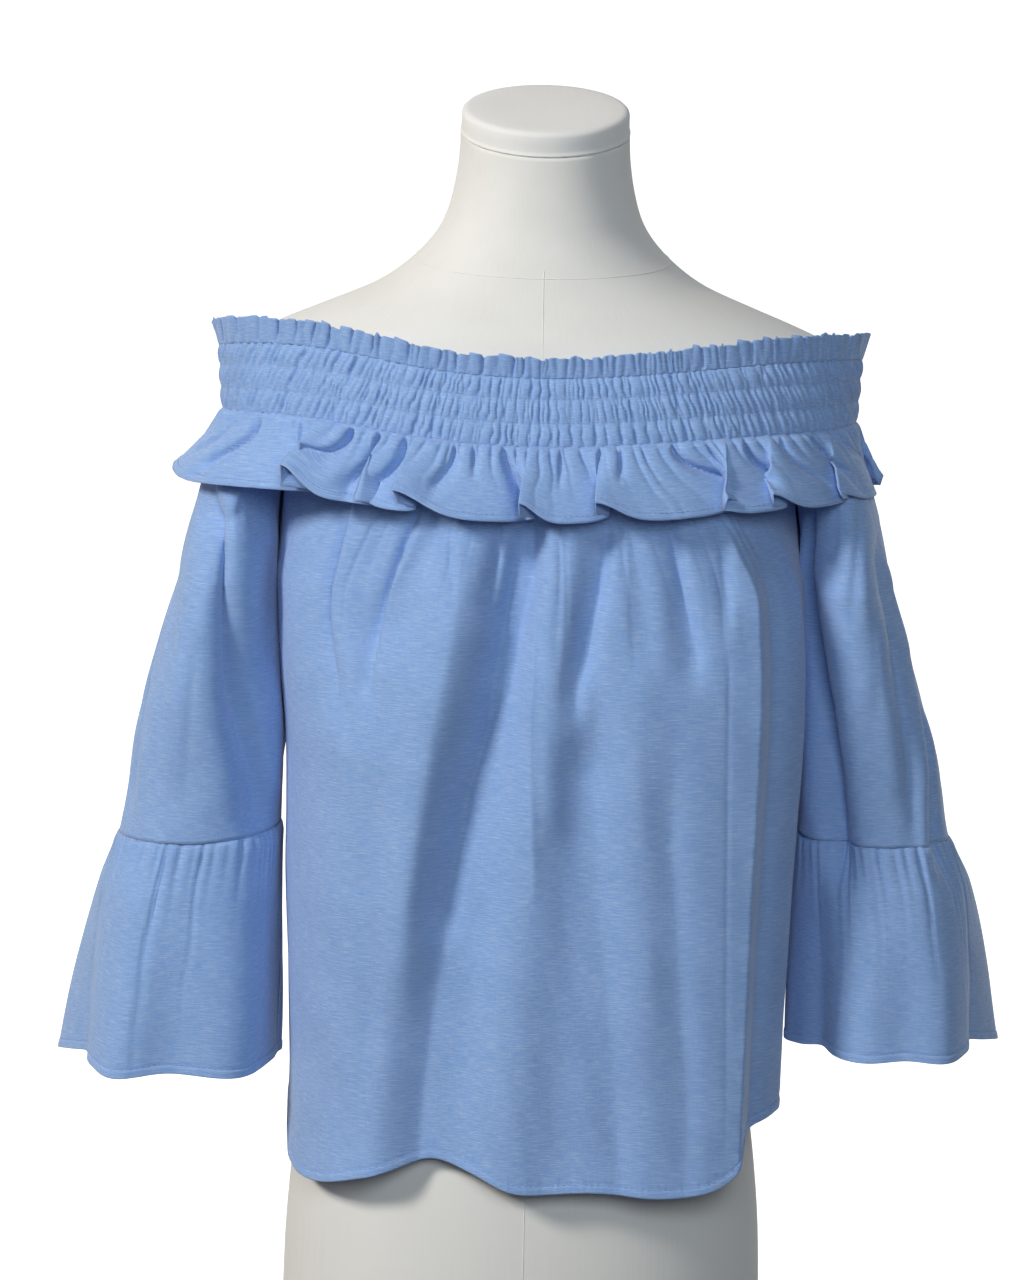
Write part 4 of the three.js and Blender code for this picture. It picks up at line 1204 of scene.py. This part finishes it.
def sleeve_flounce(which):
    sleeve = SLEEVES[which]
    seed = 40 + sleeve["side"]
    around = np.linspace(SLEEVE_EDGE, 1 - SLEEVE_EDGE, CUFF["columns"])[None, :]
    level = np.concatenate([np.linspace(0, 0.94, 38), np.linspace(0.95, 1, 11)])[:, None]
    angle = sleeve_angle(around)
    swell = -CUFF["hollow"] + sum(
        size * bell(turned(angle - at) / width)
        for at, width, size in zip(*sleeve["lobes"].values())
    )
    top = seam_height(sleeve, around) + CUFF["tuck"]
    z = mix(top, sleeve["hem_z"] - CUFF["hem_drop"] * swell, level)
    snake = 0.009 * wander(level * 3 + around * 9, seed) * level
    drawn, number = gathers(around + snake, CUFF["gathers"], seed, 0.17 + 0.1 * level, 1.0)
    run = 1.5 + 9 * uneven(number, seed) ** 0.7
    drawn = CUFF["gather_depth"] * drawn * np.exp(-level * run) * ease(level / 0.035)
    puff = CUFF["puff"] * ease(level / 0.04) * np.exp(-level / 0.3) - 0.7
    slack = 1.1 * wander(around * 8 + level * 1.4, seed + 2) * level
    past_hem = (level - CUFF["hem_at"]) / 0.006
    turned_hem = 0.45 * ease(past_hem - 1 / 6) - 0.4 * bell(past_hem)
    beside_body = 1.6 * bell(turned(angle + 90) / 30) * level
    grid = sleeve_point(sleeve, around, z, drawn + puff + slack + turned_hem + beside_body)
    radians = angle * DEGREE
    grid[..., 0] += sleeve["side"] * np.sin(radians) * swell * level
    grid[..., 1] -= np.cos(radians) * swell * level
    across, down = around * WEAVE_ACROSS["cuff"], CUFF["length"] * level
    made = shell(f"sleeve_flounce_{which}_cloth", grid, across, down, sleeve["side"])
    finish_piece(made, CHAMBRAY, f"sleeve_flounce_{which}")
    row = int(np.argmin(np.abs(level - CUFF["hem_at"])))
    return made, stitches(grid[row], normals(grid, sleeve["side"])[row])


def threads(name, parts):
    """One object of the stitches of a hem or of the elastic rows."""
    return finish_piece(joined(name, parts), THREAD)


# Camera, light and floor


def set_camera():
    elevation, roll = CAMERA_ELEVATION * DEGREE, CAMERA_ROLL * DEGREE
    back = Vector((0, -math.cos(elevation), math.sin(elevation)))
    level_right = Vector((1, 0, 0))
    level_up = back.cross(level_right)
    right = math.cos(roll) * level_right - math.sin(roll) * level_up
    up = math.cos(roll) * level_up + math.sin(roll) * level_right
    data = bpy.data.cameras.new("camera")
    data.lens = CAMERA_LENS
    data.sensor_width = 36
    camera = new_object("camera", data)
    place = Matrix((right, up, back)).transposed().to_4x4()
    place.translation = (CAMERA_TARGET + CAMERA_DISTANCE * back) * MM
    camera.matrix_world = place
    bpy.context.scene.camera = camera


def area_light(name, place, power, size, colour):
    data = bpy.data.lights.new(name, "AREA")
    data.energy = power
    data.color = colour
    data.size = size
    lamp = new_object(name, data)
    lamp.location = place
    lamp.rotation_euler = (Vector(LIT_POINT) - Vector(place)).to_track_quat("-Z", "Y").to_euler()


def studio():
    """Two soft lights, and a white room that is bright behind the form and dim before it."""
    bpy.context.scene.view_settings.view_transform = "Standard"
    area_light("key", **KEY_LIGHT)
    area_light("fill", **FILL_LIGHT)
    world = bpy.data.worlds.new("studio")
    world.use_nodes = True
    tree = world.node_tree
    dim = tree.nodes["Background"]
    dim.inputs["Color"].default_value = ROOM_TINT
    seen = node(tree, "ShaderNodeBackground", Color=(1, 1, 1, 1), Strength=ROOM_SEEN)
    place = tree.nodes.new("ShaderNodeTexCoord")
    parts = tree.nodes.new("ShaderNodeSeparateXYZ")
    link(tree, place.outputs["Generated"], parts.inputs[0])
    behind = tree.nodes.new("ShaderNodeMapRange")
    behind.interpolation_type = "SMOOTHSTEP"
    set_sockets(behind, From_Min=ROOM_TURN[0], From_Max=ROOM_TURN[1])
    set_sockets(behind, To_Min=ROOM_LIGHT[0], To_Max=ROOM_LIGHT[1])
    link(tree, parts.outputs["Y"], behind.inputs["Value"])
    link(tree, behind.outputs["Result"], dim.inputs["Strength"])
    ray = tree.nodes.new("ShaderNodeLightPath")
    either = tree.nodes.new("ShaderNodeMixShader")
    link(tree, ray.outputs["Is Camera Ray"], either.inputs[0])
    link(tree, dim.outputs[0], either.inputs[1])
    link(tree, seen.outputs[0], either.inputs[2])
    link(tree, either.outputs[0], tree.nodes["World Output"].inputs["Surface"])
    bpy.context.scene.world = world


def pale_floor():
    corners = [(x * FLOOR_REACH, y * FLOOR_REACH, 0) for x, y in ((-1, -1), (1, -1), (1, 1), (-1, 1))]
    floor = smooth_mesh("floor", corners, [(0, 1, 2, 3)])
    floor.location.z = -FLOOR_DROP
    floor.visible_diffuse = False
    material, _, shader = blank_material("pale_floor")
    set_sockets(shader, Base_Color=(0.8, 0.8, 0.8, 1), Roughness=1, Specular_IOR_Level=0)
    set_sockets(shader, Emission_Color=(1, 1, 1, 1), Emission_Strength=FLOOR_GLOW)
    floor.data.materials.append(material)


set_camera()
studio()
pale_floor()
form_torso()
form_seams()
form_cap()

band, band_threads = neck_band()
frill = neck_frill()
flounce, flounce_threads = neck_flounce()
front, front_threads = panel(
    "front_cloth", "front_panel", (-RAGLAN_FRONT, RAGLAN_FRONT), (-90, 90), 312, 26, 104, 0.45
)
back, back_threads = panel(
    "back_cloth", "back_panel", (RAGLAN_BACK, 360 - RAGLAN_BACK), (90, 270), 200, 22, 76
)
threads("band_elastic_threads", band_threads)
threads("neck_flounce_hem_thread", flounce_threads)
threads("body_hem_thread", front_threads + back_threads)
sleeves = {which: sleeve_cloth(which) for which in SLEEVES}
cuffs = {}
for which in SLEEVES:
    cuffs[which], cuff_threads = sleeve_flounce(which)
    threads(f"sleeve_flounce_{which}_hem_thread", cuff_threads)
